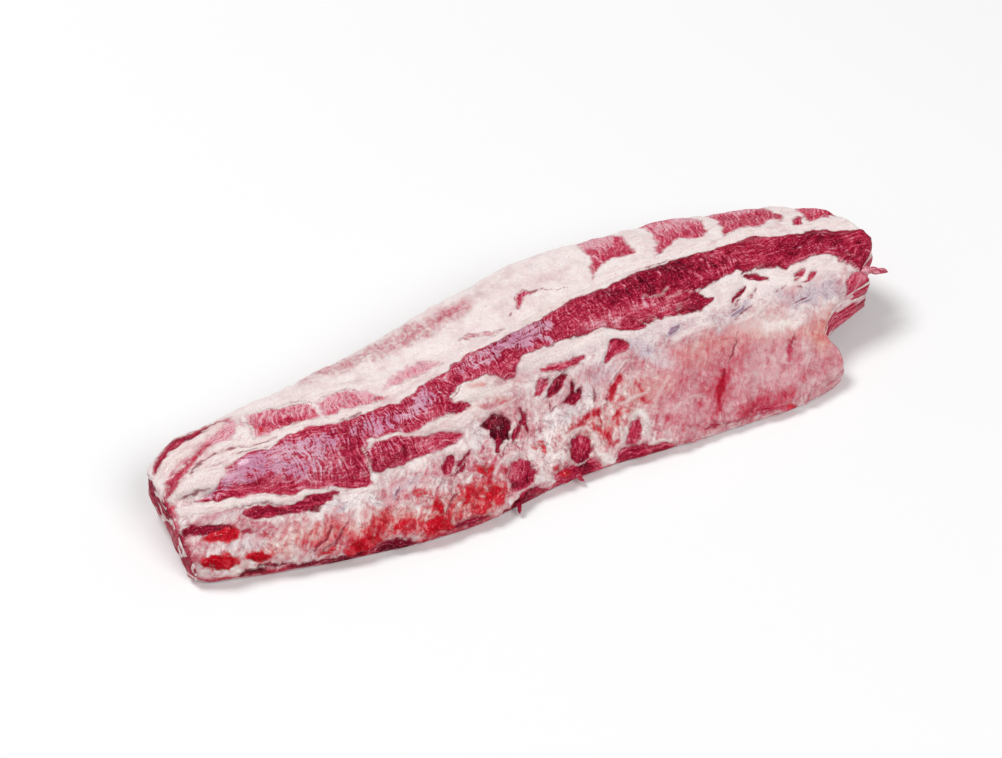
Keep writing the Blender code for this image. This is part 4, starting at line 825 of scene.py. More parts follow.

# Fine creases between folds of skin, with painted shade along them.
SHADED_CREASES = (
    ((-12.9, 0.95, 0.04), (-12.3, 1.35, 0.06), (-11.7, 1.9, 0.04)),
    ((-12, 1, 0.04), (-11.5, 1.5, 0.05), (-10.9, 1.95, 0.04)),
    ((-12.4, 0.85, 0.03), (-11.9, 1.2, 0.04)),
    ((-6.3, 1.2, 0.04), (-5.7, 1.9, 0.05), (-5.4, 2.1, 0.04)),
    ((-8.25, 2.6, 0.03), (-8.1, 2.95, 0.06), (-7.9, 3.1, 0.03)),
    ((-2.8, 3.3, 0.04), (-2.7, 2.9, 0.05), (-2.65, 2.7, 0.04)),
    ((-2.6, 2.7, 0.04), (-2.4, 3.1, 0.05), (-2.2, 3.3, 0.04), (-1.9, 3.4, 0.03)),
    ((-17.1, 5.45, 0.05), (-16.9, 6.1, 0.06), (-16.3, 6.5, 0.04)),
    ((-17.9, 4.7, 0.05), (-17.2, 4.75, 0.05), (-16.5, 4.85, 0.04)),
    ((-16.6, 6.4, 0.04), (-15.2, 6.72, 0.05), (-13.8, 6.72, 0.05), (-12.6, 6.9, 0.04)),
    ((-15.4, 6.25, 0.03), (-14.4, 6.45, 0.05), (-13.2, 6.38, 0.04)),
    ((-17.6, 3.68, 0.04), (-16, 3.66, 0.05), (-14.8, 3.72, 0.05), (-13.6, 3.5, 0.04)),
    ((0.7, 3.8, 0.03), (1, 3.95, 0.04), (1.2, 4, 0.04), (1.35, 3.8, 0.03)),
    ((0.75, 4.0, 0.03), (0.95, 4.4, 0.04), (0.85, 4.7, 0.03)),
    ((3, 3.2, 0.03), (3.3, 3.9, 0.04), (3.4, 4.4, 0.03)),
    ((3.72, 3.2, 0.05), (3.85, 3.5, 0.05), (4.1, 3.9, 0.04)),
    ((4.2, 4.15, 0.03), (4.9, 4.6, 0.05), (5.6, 4.95, 0.03)),
    ((4.35, 5.2, 0.06), (4.55, 5.1, 0.04)),
    ((5.15, 1.3, 0.03), (5.35, 1.55, 0.05), (5.3, 1.85, 0.04), (5.15, 1.9, 0.02)),
    ((2.45, 1.3, 0.06), (2.35, 1.55, 0.05)),
    ((1.8, 7.2, 0.04), (2.2, 7.12, 0.05), (2.5, 7.2, 0.06)),
    ((0.8, 8.4, 0.04), (1.8, 8.45, 0.04), (2.4, 8.55, 0.03)),
    ((0.2, 8.15, 0.04), (1.4, 8.12, 0.04), (2, 8.0, 0.03)),
    ((6.9, 9.75, 0.03), (7.8, 9.88, 0.04), (8.6, 9.95, 0.03)),
    ((8.9, 9.82, 0.04), (9.7, 9.85, 0.05), (10.4, 9.95, 0.03)),
    ((10.1, 3, 0.06), (10.3, 3.15, 0.06), (10.45, 3.25, 0.04)),
    ((10.6, 3.4, 0.03), (11.2, 4, 0.05), (11.9, 4.9, 0.03)),
    ((11.95, 5.95, 0.03), (12.4, 6.2, 0.05), (12.7, 6.35, 0.03)),
    ((11.9, 5.5, 0.03), (12.6, 5.8, 0.04), (13.4, 6.05, 0.03)),
    ((13.8, 6.72, 0.05), (13.95, 6.78, 0.05)),
    ((14.8, 6.25, 0.03), (15.3, 6.45, 0.05), (15.5, 6.5, 0.03)),
    ((15.4, 5.4, 0.04), (15.5, 5.75, 0.04)),
    ((15.9, 5.45, 0.08), (16.1, 5.4, 0.06)),
    ((15.9, 6.2, 0.04), (16.15, 6.15, 0.06)),
    ((17.7, 4.25, 0.05), (18.2, 4.3, 0.04)),
    ((1.25, 10.15, 0.06), (1.35, 10.25, 0.05)),
    ((2.85, 11.1, 0.04), (3.6, 10.95, 0.03)),
    ((3.5, 10.9, 0.02), (4.2, 10.4, 0.03), (4.8, 10.1, 0.02)),
    ((-13.9, 3.95, 0.04), (-13.3, 3.72, 0.06), (-12.9, 3.68, 0.05)),
    ((-9.5, 6.85, 0.04), (-8.4, 7.05, 0.04)),
    ((-4.1, 6.5, 0.03), (-3.4, 6.75, 0.04), (-3.1, 7.05, 0.03)),
)

# Ridges of fat and sinew that stand proud: height in millimetres and the stroke along their tops.
RIDGES = (
    (1.0, ((-17.9, 4.95, 0.1), (-17.1, 5.2, 0.3), (-16.3, 5.4, 0.42), (-15.6, 5.35, 0.12))),
    (0.9, (
        (-15.4, 6.8, 0.1), (-14.5, 7.1, 0.12), (-13.8, 7.1, 0.12), (-13, 7, 0.1),
        (-12.2, 7.15, 0.12), (-11.3, 7.2, 0.12), (-10.5, 7.05, 0.1), (-9.8, 6.95, 0.1),
        (-9, 7.25, 0.12), (-7.6, 7.35, 0.1),
    )),
    (0.7, ((-15.4, 6.1, 0.06), (-14.5, 6.62, 0.08), (-13.5, 6.55, 0.08), (-12.9, 6.45, 0.06))),
    (0.9, (
        (-17.8, 3.95, 0.18), (-16.5, 3.85, 0.18), (-15.5, 3.9, 0.14), (-14.8, 3.95, 0.12),
        (-14, 3.8, 0.1), (-13.3, 3.6, 0.1), (-12.8, 3.55, 0.08), (-12.3, 3.75, 0.08),
        (-11.4, 3.78, 0.06),
    )),
    (0.5, ((-9.05, 3.9, 0.03), (-9.0, 4.4, 0.05), (-8.95, 5.2, 0.04))),
    (0.6, (
        (-8.6, 5.45, 0.05), (-8, 5.5, 0.06), (-7, 5.4, 0.06), (-6.5, 5.25, 0.06), (-6.2, 5.3, 0.08),
        (-5.8, 5.5, 0.06),
    )),
    (0.8, (
        (-6, 5.25, 0.08), (-5, 5.45, 0.25), (-4.2, 5.3, 0.28), (-3.6, 5.4, 0.2), (-3, 5.6, 0.12),
        (-2.6, 5.2, 0.08),
    )),
    (0.7, ((-3.8, 6.35, 0.06), (-2.5, 6.4, 0.16), (-1.6, 6.25, 0.16), (-0.8, 6.1, 0.08))),
    (0.4, ((-2.9, 5.25, 0.05), (-1.6, 5.3, 0.1), (-0.4, 5.35, 0.06))),
    (0.7, ((-10.6, 3.3, 0.04), (-9.7, 3.2, 0.1), (-9.1, 3.3, 0.06))),
    (1.6, (
        (-18.5, 6.05, 0.2), (-17.9, 6.7, 0.28), (-17.3, 7.2, 0.33), (-16.5, 7.6, 0.28),
        (-15.8, 8, 0.22), (-15, 8.5, 0.18), (-14.4, 8.8, 0.12),
    )),
    (0.6, ((-13.9, 8.2, 0.05), (-13.7, 9.2, 0.08))),
    (0.7, ((-14.5, 6.9, 0.05), (-14.1, 7.6, 0.12), (-13.8, 8.2, 0.08))),
    (0.7, (
        (0.2, 6.85, 0.08), (1.6, 6.75, 0.2), (3.2, 6.6, 0.18), (4.4, 6.75, 0.12), (5.0, 6.9, 0.05),
    )),
    (0.6, ((4.6, 6.4, 0.1), (5.0, 6.9, 0.1))),
    (0.5, ((-3.2, 2.3, 0.05), (-2.7, 2.65, 0.08), (-2.1, 2.8, 0.08), (-1.4, 2.7, 0.06))),
    (0.4, (
        (-1, 2.6, 0.04), (-0.75, 2, 0.08), (-0.9, 1.4, 0.08), (-0.5, 0.8, 0.1), (-0.3, 0.5, 0.06),
    )),
    (0.4, ((-2.6, 0.9, 0.02), (-2.0, 0.8, 0.03), (-1.4, 0.75, 0.02))),
    (0.5, (
        (0.1, 1.9, 0.03), (0.7, 2.3, 0.05), (1.6, 2.6, 0.05), (2.3, 2.5, 0.06), (2.6, 1.9, 0.08),
        (2.4, 1.1, 0.06),
    )),
    (0.7, ((2.4, 1.0, 0.05), (2.7, 0.6, 0.14), (2.95, 0.3, 0.1))),
    (0.4, ((3.3, 0.98, 0.03), (3.8, 1.1, 0.04), (3.9, 1.6, 0.03))),
    (0.5, (
        (5.0, 1.0, 0.03), (5.25, 1.5, 0.06), (5.4, 2.05, 0.08), (5.1, 2.4, 0.05), (4.5, 2.3, 0.03),
    )),
    (0.6, ((5.0, 0.75, 0.04), (5.8, 0.72, 0.05), (6.2, 0.6, 0.04))),
    (0.4, ((3.3, 2.9, 0.05), (3.6, 2.7, 0.06), (3.4, 2.2, 0.04))),
    (0.5, ((4.3, 3.1, 0.04), (5.2, 3.15, 0.06), (6.2, 3.4, 0.04))),
    (0.5, ((4.3, 4.35, 0.03), (5, 4.75, 0.05), (5.7, 5.05, 0.03))),
    (0.4, ((5.9, 2.4, 0.03), (6.8, 3.2, 0.05), (7.4, 3.7, 0.04))),
    (0.4, ((6.9, 2.05, 0.03), (7.6, 2.25, 0.04), (8.1, 2.35, 0.04), (8.8, 2.2, 0.03))),
    (0.6, ((8.3, 5.3, 0.06), (9.4, 5.6, 0.12), (10.6, 5.75, 0.1))),
    (0.5, ((9.0, 7.58, 0.03), (10, 7.6, 0.03), (10.9, 7.56, 0.03))),
    (0.5, ((7.9, 8.1, 0.03), (8.3, 7.87, 0.04), (8.9, 7.83, 0.06), (9.3, 8.1, 0.04))),
    (0.4, ((6.3, 7.5, 0.03), (6.9, 7.1, 0.03), (7.5, 6.6, 0.03))),
    (0.7, ((11.6, 7.25, 0.06), (12.4, 7.35, 0.16), (13.1, 7.4, 0.1))),
    (0.5, ((12, 5.35, 0.05), (13, 5.5, 0.08), (14, 5.9, 0.06), (14.8, 6.6, 0.05))),
    (0.4, ((12.2, 6.2, 0.03), (13.2, 6.6, 0.04), (14.0, 7.0, 0.03))),
    (0.7, ((14.8, 4.12, 0.05), (15.2, 4.35, 0.1), (15.7, 4.6, 0.06))),
    (0.5, ((16, 6.75, 0.03), (16.6, 6.68, 0.04), (17.1, 6.95, 0.03))),
    (0.8, (
        (15.2, 7.3, 0.1), (15.9, 7.15, 0.14), (16.6, 7.2, 0.1), (17.4, 7.15, 0.1),
        (18.4, 7.15, 0.06),
    )),
    (0.5, ((17.4, 3.9, 0.04), (17.8, 4.6, 0.06), (18.3, 5.3, 0.06), (18.7, 5.95, 0.05))),
    (0.4, ((19.5, 6.7, 0.03), (19.75, 6.2, 0.04))),
    (0.3, ((13.2, 2.75, 0.03), (13.35, 3.2, 0.03))),
    (0.3, ((13.35, 1.75, 0.02), (13.65, 1.3, 0.04), (13.8, 0.8, 0.03))),
    (0.3, ((7.5, 4.8, 0.03), (7.8, 5.1, 0.04), (7.4, 4.2, 0.03))),
    (0.6, ((9.7, 11.2, 0.15), (9.9, 12.4, 0.25), (10.0, 14.5, 0.3))),
    (0.6, ((13.95, 11.4, 0.08), (14.15, 12.8, 0.12), (14.1, 14.4, 0.15))),
    (0.6, ((18.3, 11.2, 0.2), (18.5, 12.2, 0.25))),
    (0.6, (
        (6.6, 10.0, 0.1), (8.2, 10.6, 0.35), (9.6, 10.3, 0.15), (11.6, 10.6, 0.4),
        (13.4, 10.3, 0.2), (15.4, 10.5, 0.2), (17, 10.3, 0.15), (18.8, 9.6, 0.15),
        (20.6, 9.2, 0.15),
    )),
    (0.6, ((3, 9.5, 0.06), (5.0, 9.35, 0.1), (6.4, 9.6, 0.1), (8.2, 9.95, 0.05))),
    (0.6, ((-6.6, 8.0, 0.1), (-5.2, 8.25, 0.1), (-4.2, 8.4, 0.12), (-3.5, 8.7, 0.08))),
    (0.6, (
        (-13.8, 9.2, 0.12), (-12, 9.25, 0.14), (-10.2, 8.75, 0.14), (-8.6, 8.95, 0.12),
        (-6.6, 8.85, 0.1),
    )),
    (0.5, ((-2.6, 8.75, 0.08), (-1.2, 9.1, 0.12), (0.6, 9.15, 0.1), (2.4, 9.1, 0.08))),
)


def paint_tissue(place):
    """What each place of the outer skin is made of, and how far it stands proud in millimetres."""
    x = (place[:, 0] + LOFT_ZERO[0] - MARK_X) * 100
    w = place[:, 1] * 100
    x_bent = x + 0.05 * rough(x, w, 0.7, 1) + 0.05 * rough(x, w, 0.25, 2)
    w_bent = w + 0.05 * rough(x, w, 0.6, 3) + 0.05 * rough(x, w, 0.22, 4)

    lean = depth_in(x_bent, w_bent, STRAP)
    tone = np.interp(
        x,
        (-17, -15, -9, -3, 1, 3, 6, 9, 13, 17, 20),
        (0.58, 0.60, 0.64, 0.58, 0.60, 0.52, 0.52, 0.40, 0.43, 0.46, 0.44),
    )
    tone = tone + 0.06 * rough(x, w, 1.5, 5)
    angle, soft, sink = 0 * x, 0 * x + 0.04, 0 * x
    for shade, turn, softness, sunk_by, shape in LEAN:
        depth = depth_in(x_bent, w_bent, shape)
        nearer = depth > lean
        lean = np.where(nearer, depth, lean)
        tone = np.where(nearer, shade + 0.07 * rough(x, w, 0.9, 6), tone)
        soft = np.where(nearer, softness, soft)
        angle = np.where(nearer, math.radians(turn), angle)
        sink = np.maximum(sink, sunk_by * ease(-0.10, 0.22, depth))

    wash = {what: 0 * x for what in ("milky", "busy", "warm", "sheen", "cross")}
    wash["red"], wash["tone"] = 0.05 + 0 * x, tone
    x_loose = x + 0.22 * rough(x, w, 0.9, 11) + 0.10 * rough(x, w, 0.35, 12)
    w_loose = w + 0.20 * rough(x, w, 0.8, 13) + 0.10 * rough(x, w, 0.3, 14)
    for what, amount, softness, shape in WASHES:
        lay = (x_bent, w_bent) if softness < 0.25 else (x_loose, w_loose)
        wash[what] = wash[what] + amount * ease(-softness, softness, depth_in(*lay, shape))
    flank = 1 - ease(5.6, 6.8, w + 0.2 * rough(x, w, 0.8, 18))
    under_strap = flank * ease(4.2, 5.2, w) * ease(-9, -8, x)
    at_skirt = flank * ease(6.5, 8, x)
    patchy = 0.4 + 0.6 * flank - 0.6 * at_skirt
    wash["red"] = wash["red"] + 0.17 * under_strap + 0.07 * rough(x, w, 1.6, 15) * patchy
    wash["red"] = wash["red"] + 0.05 * rough(x, w, 0.6, 16) * (1 - 0.5 * at_skirt)
    wash["busy"] = wash["busy"] + 0.08 + 0.34 * flank
    wash["milky"] = np.clip(wash["milky"] + 0.25 * under_strap, 0, 2)
    for clipped in ("busy", "warm", "sheen", "cross"):
        wash[clipped] = np.clip(wash[clipped], 0, 1)

    blood = 0 * x
    for amount, shape in BLOOD:
        blood = np.maximum(blood, amount * ease(-0.28, 0.18, depth_in(x_bent, w_bent, shape)))
    # Painted shade: how deep each place lies in a shaded crease
    shaded_crease = np.max([depth_in(x_bent, w_bent, shape) for shape in SHADED_CREASES], axis=0)

    ridge = 0 * x
    for height, stroke in RIDGES:
        depth = depth_in(x_bent, w_bent, stroke)
        ridge = np.maximum(ridge, height * ease(-0.22, 0.10, depth))
        lean = np.where((depth > -0.04) & (lean < 0.25), np.minimum(lean, -depth), lean)
    proud = 0.9 * ridge - 1.15 * sink
    border = ease(0.0, 0.05, 0.12 - soft)
    proud = proud - 0.45 * border * np.exp(-((lean / 0.08) ** 2))
    proud = proud + 0.35 * ease(0.05, 0.5, lean) - 0.1
    proud = proud - 0.35 * ease(-0.12, 0.04, shaded_crease)
    bumps = rough(x, w, 0.55, 21) + 0.6 * rough(x, w, 0.26, 22)
    rib_along, rib_beside = x * 0.55 + w * 0.83, w * 0.55 - x * 0.83
    folds = rough(rib_along * 0.45, rib_beside, 0.34, 23)
    folds = folds + 0.5 * rough(rib_along * 0.6, rib_beside, 0.17, 24)
    wrinkle = rough(x * 0.3, w, 0.24, 25) + 0.6 * rough(x * 0.3 + 7, w, 0.13, 26)
    calm = 1 - 0.8 * np.clip(ridge, 0, 1)
    proud = proud + 0.22 * bumps * calm + 0.34 * folds * wash["busy"] * (lean < 0.05) * calm
    proud = proud + 0.13 * wrinkle * (lean > -0.1)
    ragged = (1 - ease(0.4, 1.6, w)) * ease(0.0, 0.2, w)
    proud = proud + ragged * (0.7 * rough(x, w, 0.5, 27) + 0.4 * rough(x, w, 0.22, 28))

    at_neck = ease(-12.4, -13.8, x) * ease(4.6, 5.6, w)
    turned = np.radians(80 - 25 * flank) * (1 - at_neck) + math.radians(36) * at_neck
    turned = np.where(ridge > 0.3, 0.6 * at_neck, turned)
    angle = np.where(lean > -0.05, angle, turned)
    cosine, sine = np.cos(angle), np.sin(angle)
    along, beside = x * cosine + w * sine, w * cosine - x * sine
    return {
        "flesh": [lean, wash["tone"], wash["sheen"]],
        "raw": [wash["red"], wash["busy"] * calm, wash["milky"]],
        "grain": [along, beside, 0 * x],
        "wet": [blood, np.clip(ridge, 0, 1), wash["cross"]],
        "marks": [shaded_crease, wash["warm"], 0.04 / soft],
        "proud": [proud],
    }


def bare_tissue(lean, tone, red, busy, milky, along, beside, proud):
    """Tissue without the marks of the outer side: no blood, no painted crease shade and no ridges.
    """
    none = 0 * lean
    return {
        "flesh": (lean, tone, none),
        "raw": (red, busy, milky),
        "grain": (along, beside, none),
        "wet": (none, none, none),
        "marks": (none - 1, none, none + 1),
        "proud": (proud,),
    }


def paint_cut_end(spot, place):
    """The two cut ends: lean in blocks with white seams between, under a rind of fat."""
    y, z = spot[:, 1], spot[:, 2]
    blocks = rough(y * 0.6, z, 0.7, 31) + 0.5 * rough(y * 0.6, z, 0.3, 32)
    loin = spot[:, 0] > 5
    seams = np.exp(-((blocks / (0.22 - 0.10 * loin)) ** 2))
    rind = ease(2.6 + 0.6 * loin, 3.4 + 0.5 * loin, z)
    lean = 0.18 - 0.5 * seams - 1.2 * rind
    skirt = loin * ease(-3.6, -4.4, y)
    lean = lean - 0.8 * skirt
    tone = 0.40 + 0.14 * loin + 0.12 * rough(y, z, 0.9, 33)
    proud = 0.5 * rough(y, z, 0.5, 34) + 0.3 * rough(y, z, 0.22, 35)
    return bare_tissue(lean, tone, 0.2 + 0.26 * skirt, 0.5 - 0.2 * skirt, 0 * y, y, z * 1.6, proud)


def paint_sawn_face(spot, place):
    """The face sawn off the backbone: lean between the ribs, then fat with a red streak."""
    x, z = spot[:, 0], spot[:, 2]
    wave = 0.14 * rough(x, z, 1.6, 41) + 0.08 * rough(x, z, 0.5, 42)
    lower = 0.72 - np.abs(z - 1.15 + wave)
    upper = 0.16 + 0.12 * rough(x, 0 * z, 2.2, 43) - np.abs(z - 2.55 + 2 * wave)
    tone = 0.40 + 0.15 * rough(x, z, 1.1, 44)
    proud = 0.35 * rough(x, z, 0.6, 45) + 0.2 * rough(x, z, 0.25, 46)
    lean, even = np.maximum(lower, upper), 0 * x
    return bare_tissue(lean, tone, 0.14 + even, 0.4 + even, 0.2 + even, x, z, proud)


def paint_rib_cage(spot, place):
    """The hollow under side: silverskin, milky over the ribs and reddish on the meat between."""
    x, _, across = place.T
    beside = np.min([np.abs(x - rib_line(rib, across)) for rib in range(RIBS)], axis=0) * 100
    between = ease(0.5, 1.3, beside)
    x, y = spot[:, 0], spot[:, 1]
    red = 0.16 + 0.34 * between + 0.12 * rough(x, y, 1.2, 51)
    tone = 0.45 + 0.1 * rough(x, y, 1.0, 52)
    lean = -0.35 + 0.55 * between * np.clip(rough(x, y, 1.7, 53), 0, 1)
    proud = -0.5 * between + 0.25 * rough(x, y, 0.6, 54)
    proud = proud * ease(0.05, 0.25, spot[:, 2])
    busy, milky = 0.30 + 0.25 * between, 0.75 - 0.5 * between
    return bare_tissue(lean, tone, red, busy, milky, y, x * 1.4, proud)


class Shade:
    """A shader socket that adds, subtracts and multiplies like a number."""

    tree = None

    def __init__(self, socket):
        self.socket = socket

    @classmethod
    def node(cls, kind, settings=(), inputs=(), output=0):
        """A new node, given its settings and the values or links of its inputs."""
        made = cls.tree.nodes.new("ShaderNode" + kind)
        for key, value in dict(settings).items():
            if key == "stops":
                for _ in range(len(value) - 2):
                    made.color_ramp.elements.new(0.5)
                for element, (at, colour) in zip(made.color_ramp.elements, value):
                    element.position, element.color = at, colour
            else:
                setattr(made, key, value)
        for key, value in dict(inputs).items():
            if isinstance(value, Shade):
                cls.tree.links.new(value.socket, made.inputs[key])
            else:
                made.inputs[key].default_value = value
        return cls(made.outputs[output])

    def feed(self, shader, name):
        Shade.tree.links.new(self.socket, shader.inputs[name])

    def __add__(self, other):
        return Shade.node("Math", {"operation": "ADD"}, {0: self, 1: other})

    def __sub__(self, other):
        return Shade.node("Math", {"operation": "SUBTRACT"}, {0: self, 1: other})

    def __rsub__(self, other):
        return Shade.node("Math", {"operation": "SUBTRACT"}, {0: other, 1: self})

    def __mul__(self, other):
        return Shade.node("Math", {"operation": "MULTIPLY"}, {0: self, 1: other})

    def __or__(self, other):
        """The greater of the two."""
        return Shade.node("Math", {"operation": "MAXIMUM"}, {0: self, 1: other})

    def __abs__(self):
        return Shade.node("Math", {"operation": "ABSOLUTE"}, {0: self})

    def span(self, low, high, to_low=0.0, to_high=1.0):
        """This value smoothly stepped from low..high to to_low..to_high."""
        values = {0: self, 1: low, 2: high, 3: to_low, 4: to_high}
        return Shade.node("MapRange", {"interpolation_type": "SMOOTHSTEP"}, values)

    def lines(self, half_width):
        """1 along the thin lines where this noise passes through its middle value."""
        return abs(self - 0.5).span(0.0, half_width, 1.0, 0.0)


def linear(red, green, blue):
    """A screen colour, 0 to 255, as the linear colour that shaders take."""
    shares = [value / 255 for value in (red, green, blue)]
    return (*[s / 12.92 if s <= 0.04045 else ((s + 0.055) / 1.055) ** 2.4 for s in shares], 1.0)


def mix(factor, first, second, blend="MIX"):
    kind = {"data_type": "RGBA", "blend_type": blend}
    return Shade.node("Mix", kind, {0: factor, 6: first, 7: second}, 2)


def ramp(value, *stops):
    stops = [(at, linear(*colour)) for at, *colour in stops]
    return Shade.node("ValToRGB", {"stops": stops}, {0: value})


def cloud(where, scale, detail=2.0, warp=0.0):
    """Noise from 0 to 1, its features about 1 / scale across in the units of where."""
    values = {"Vector": where, "Scale": scale, "Detail": detail, "Distortion": warp}
    return Shade.node("TexNoise", {}, values)


def attribute(name):
    return Shade.node("Attribute", {"attribute_name": name}, {}, "Vector")


def parts_of(vector):
    return [Shade.node("SeparateXYZ", {}, {0: vector}, part) for part in range(3)]


def stretched(vector, along, beside, depth=1.0):
    factors = (along, beside, depth)
    return Shade.node("VectorMath", {"operation": "MULTIPLY"}, {0: vector, 1: factors})


def empty_material(name):
    made = bpy.data.materials.new(name)
    made.use_nodes = True
    Shade.tree = made.node_tree
    return made, made.node_tree.nodes["Principled BSDF"]


def set_values(shader, values):
    for name, value in values.items():
        shader.inputs[name].default_value = value


def bump(shader, height, strength, deep):
    values = {"Height": height, "Strength": strength, "Distance": deep}
    Shade.node("Bump", {}, values).feed(shader, "Normal")


def raw_flesh_material(name):
    """Wet raw tissue: grained lean under silverskin with painted sheen, fat and skin, fresh blood,
    painted shade in creases and painted glints.
    """
    made, shader = empty_material(name)
    spot = Shade.node("TexCoord", {}, {}, "Object")
    lean_depth, tone, sheen = parts_of(attribute("flesh"))
    red, busy, milky = parts_of(attribute("raw"))
    blood, ridge, cross = parts_of(attribute("wet"))
    shaded_crease, warm, sharp = parts_of(attribute("marks"))
    grain = attribute("grain")
    wobble = Shade.node("TexNoise", {}, {"Vector": grain, "Scale": 1.1, "Detail": 1.0}, "Color")
    bend = {0: wobble, 1: (0.8, 0.8, 0.0), 2: grain}
    grain = Shade.node("VectorMath", {"operation": "MULTIPLY_ADD"}, bend)

    fine = cloud(spot, 1100.0, 2.0)
    small = cloud(spot, 330.0, 4.0, 0.4)
    medium = cloud(spot, 130.0, 4.0, 0.6)
    broad = cloud(spot, 60.0, 3.0)
    fibre = cloud(stretched(grain, 0.9, 7.0), 1.0, 3.0, 0.3)
    thread = cloud(stretched(grain, 2.2, 15.0), 1.0, 2.0, 0.2)
    weft = cloud(stretched(grain, 9.0, 1.3), 1.0, 3.0, 0.3)
    streak = cloud(stretched(grain, 0.9, 5.5), 1.0, 4.0, 0.4)
    web = cloud(spot, 170.0, 4.0, 1.2)

    strands = (fibre - 0.5) * (1.8 - cross * 0.9) + (weft - 0.5) * cross * 2.2
    lean_tone = tone + strands * 0.7 + (thread - 0.5) * 0.4 + (broad - 0.5) * 0.4
    lean_tone = lean_tone + (fine - 0.5) * 0.45 + (small - 0.5) * 0.5
    lean = ramp(
        lean_tone,
        (0.00, 74, 2, 22),
        (0.20, 120, 6, 34),
        (0.42, 160, 18, 52),
        (0.62, 194, 56, 84),
        (0.82, 214, 114, 132),
        (1.00, 230, 174, 184),
    )
    # Lilac silverskin over the lean, partly a painted sheen of reflected light
    silverskin_and_sheen = sheen + strands * 1.5 + (small - 0.5) * 1.2 + (medium - 0.5) * 0.8 + (fine - 0.5) * 0.6
    silverskin_and_sheen = silverskin_and_sheen.span(0.40, 1.15) * 0.95
    lean = mix(silverskin_and_sheen, lean, ramp(broad, (0.4, 206, 146, 176), (0.6, 222, 178, 196)))
    pale_threads = (weft.span(0.62, 0.76) * cross) | thread.span(0.64, 0.76)
    lean = mix(pale_threads * 0.22, lean, linear(230, 160, 176))
    gaps = fibre.lines(0.030) * small.span(0.36, 0.60)
    gaps = gaps | (weft.lines(0.030) * cross * small.span(0.62, 0.40))
    lean = mix(gaps * 0.55, lean, linear(92, 10, 40))

    ruddy = (small - 0.5) * 1.4 + (medium - 0.5) * 1.2 + (streak - 0.5) * 1.5 + (fine - 0.5) * 0.5
    ruddy = red + ruddy * busy + (broad - 0.5) * 0.20 + (streak - 0.5) * 0.12
    ruddy = ruddy + (small - 0.5) * 0.15 + (fine - 0.5) * 0.4
    cool = ramp(
        ruddy,
        (0.00, 247, 236, 233),
        (0.20, 230, 208, 207),
        (0.40, 219, 172, 176),
        (0.60, 204, 124, 134),
        (0.80, 194, 66, 86),
        (1.00, 170, 16, 42),
    )
    orange = ramp(
        ruddy,
        (0.00, 247, 236, 231),
        (0.20, 232, 209, 202),
        (0.40, 224, 170, 162),
        (0.60, 218, 126, 122),
        (0.80, 214, 72, 74),
        (1.00, 188, 16, 30),
    )
    fat = mix(warm, cool, orange)
    veil = milky * (broad + (medium - 0.5) * 0.8).span(0.25, 0.6)
    fat = mix(veil.span(0.0, 1.1) * 0.8, fat, linear(208, 196, 204))
    fat = mix((milky + (small - 0.5) * 0.8).span(1.1, 1.7) * 0.8, fat, linear(150, 116, 142))
    fat = mix(medium.lines(0.025) * veil * 0.5, fat, linear(160, 124, 150))
    folds = web.lines(0.025)
    fat = mix(folds * (busy + veil * 0.25) * medium.span(0.35, 0.6) * 0.7, fat, linear(158, 72, 88))

    ragged = (small - 0.5) * 0.18 + (fine - 0.5) * 0.10 + (fibre - 0.5) * 0.10
    mask = (lean_depth * sharp + ragged).span(-0.04, 0.06)
    rim = abs(lean_depth + ragged).span(0.0, 0.08, 1.0, 0.0) * sharp
    skin = mix(mask, fat, lean)
    skin = mix(rim * 0.2, skin, linear(140, 40, 60))
    # Painted shade in the creases, dark red
    skin = mix((shaded_crease + ragged * 0.4).span(-0.05, 0.04) * 0.8, skin, linear(132, 26, 50))
    gristle = ramp(streak, (0.35, 226, 198, 198), (0.50, 242, 228, 224), (0.70, 246, 236, 232))
    skin = mix((ridge * 1.5 + ragged * 2.0).span(0.25, 0.8) * (1 - mask * 0.5) * 0.8, skin, gristle)
    bloody = ramp(
        small * 0.5 + medium * 0.3 + fine * 0.2,
        (0.38, 146, 0, 12),
        (0.47, 180, 0, 24),
        (0.54, 202, 10, 36),
        (0.64, 224, 66, 80),
    )
    bleeding = blood + (medium - 0.5) * 0.9 + (small - 0.5) * 0.9 + (fine - 0.5) * 0.4
    bleeding = bleeding.span(0.22, 0.80) * blood.span(0.0, 0.12)
    skin = mix(bleeding, skin, bloody)
    skin = mix(fine.span(0.30, 0.54, 0.40, 0.0), skin, linear(206, 166, 176), "MULTIPLY")
    # Painted highlights: fine bright glints on the lean and the mottled skin
    skin = mix(fine.span(0.58, 0.74, 0.0, 0.16) * (mask | busy), skin, linear(246, 214, 220))

    values = {
        "Subsurface Weight": 0.08,
        "Subsurface Radius": (0.0014, 0.0005, 0.0004),
        "Subsurface Scale": 1.0,
        "Coat Roughness": 0.12,
        "Specular IOR Level": 0.05,
    }
    set_values(shader, values)
    skin.feed(shader, "Base Color")
    medium.span(0.54, 0.64, 0.0, 0.6).feed(shader, "Coat Weight")
    small.span(0.3, 0.7, 0.34, 0.58).feed(shader, "Roughness")

    height = (fibre * 0.5 + thread * 0.22 + weft * cross * 0.35) * mask
    pebbles = streak * 0.3 + small * 0.7 + medium * 0.7 - folds * 0.3
    height = height + pebbles * (1 - mask) * (busy * 0.9 + 0.12)
    height = height + fine * 0.12
    bump(shader, height, 0.9, 0.0010)
    return made


def store(piece, name, columns):
    """Keeps three numbers at every point of the piece for its material to read."""
    values = np.stack([np.broadcast_to(column, columns[0].shape) for column in columns], axis=1)
    layer = piece.data.attributes.new(name, "FLOAT_VECTOR", "POINT")
    layer.data.foreach_set("vector", values.astype(np.float32).ravel())


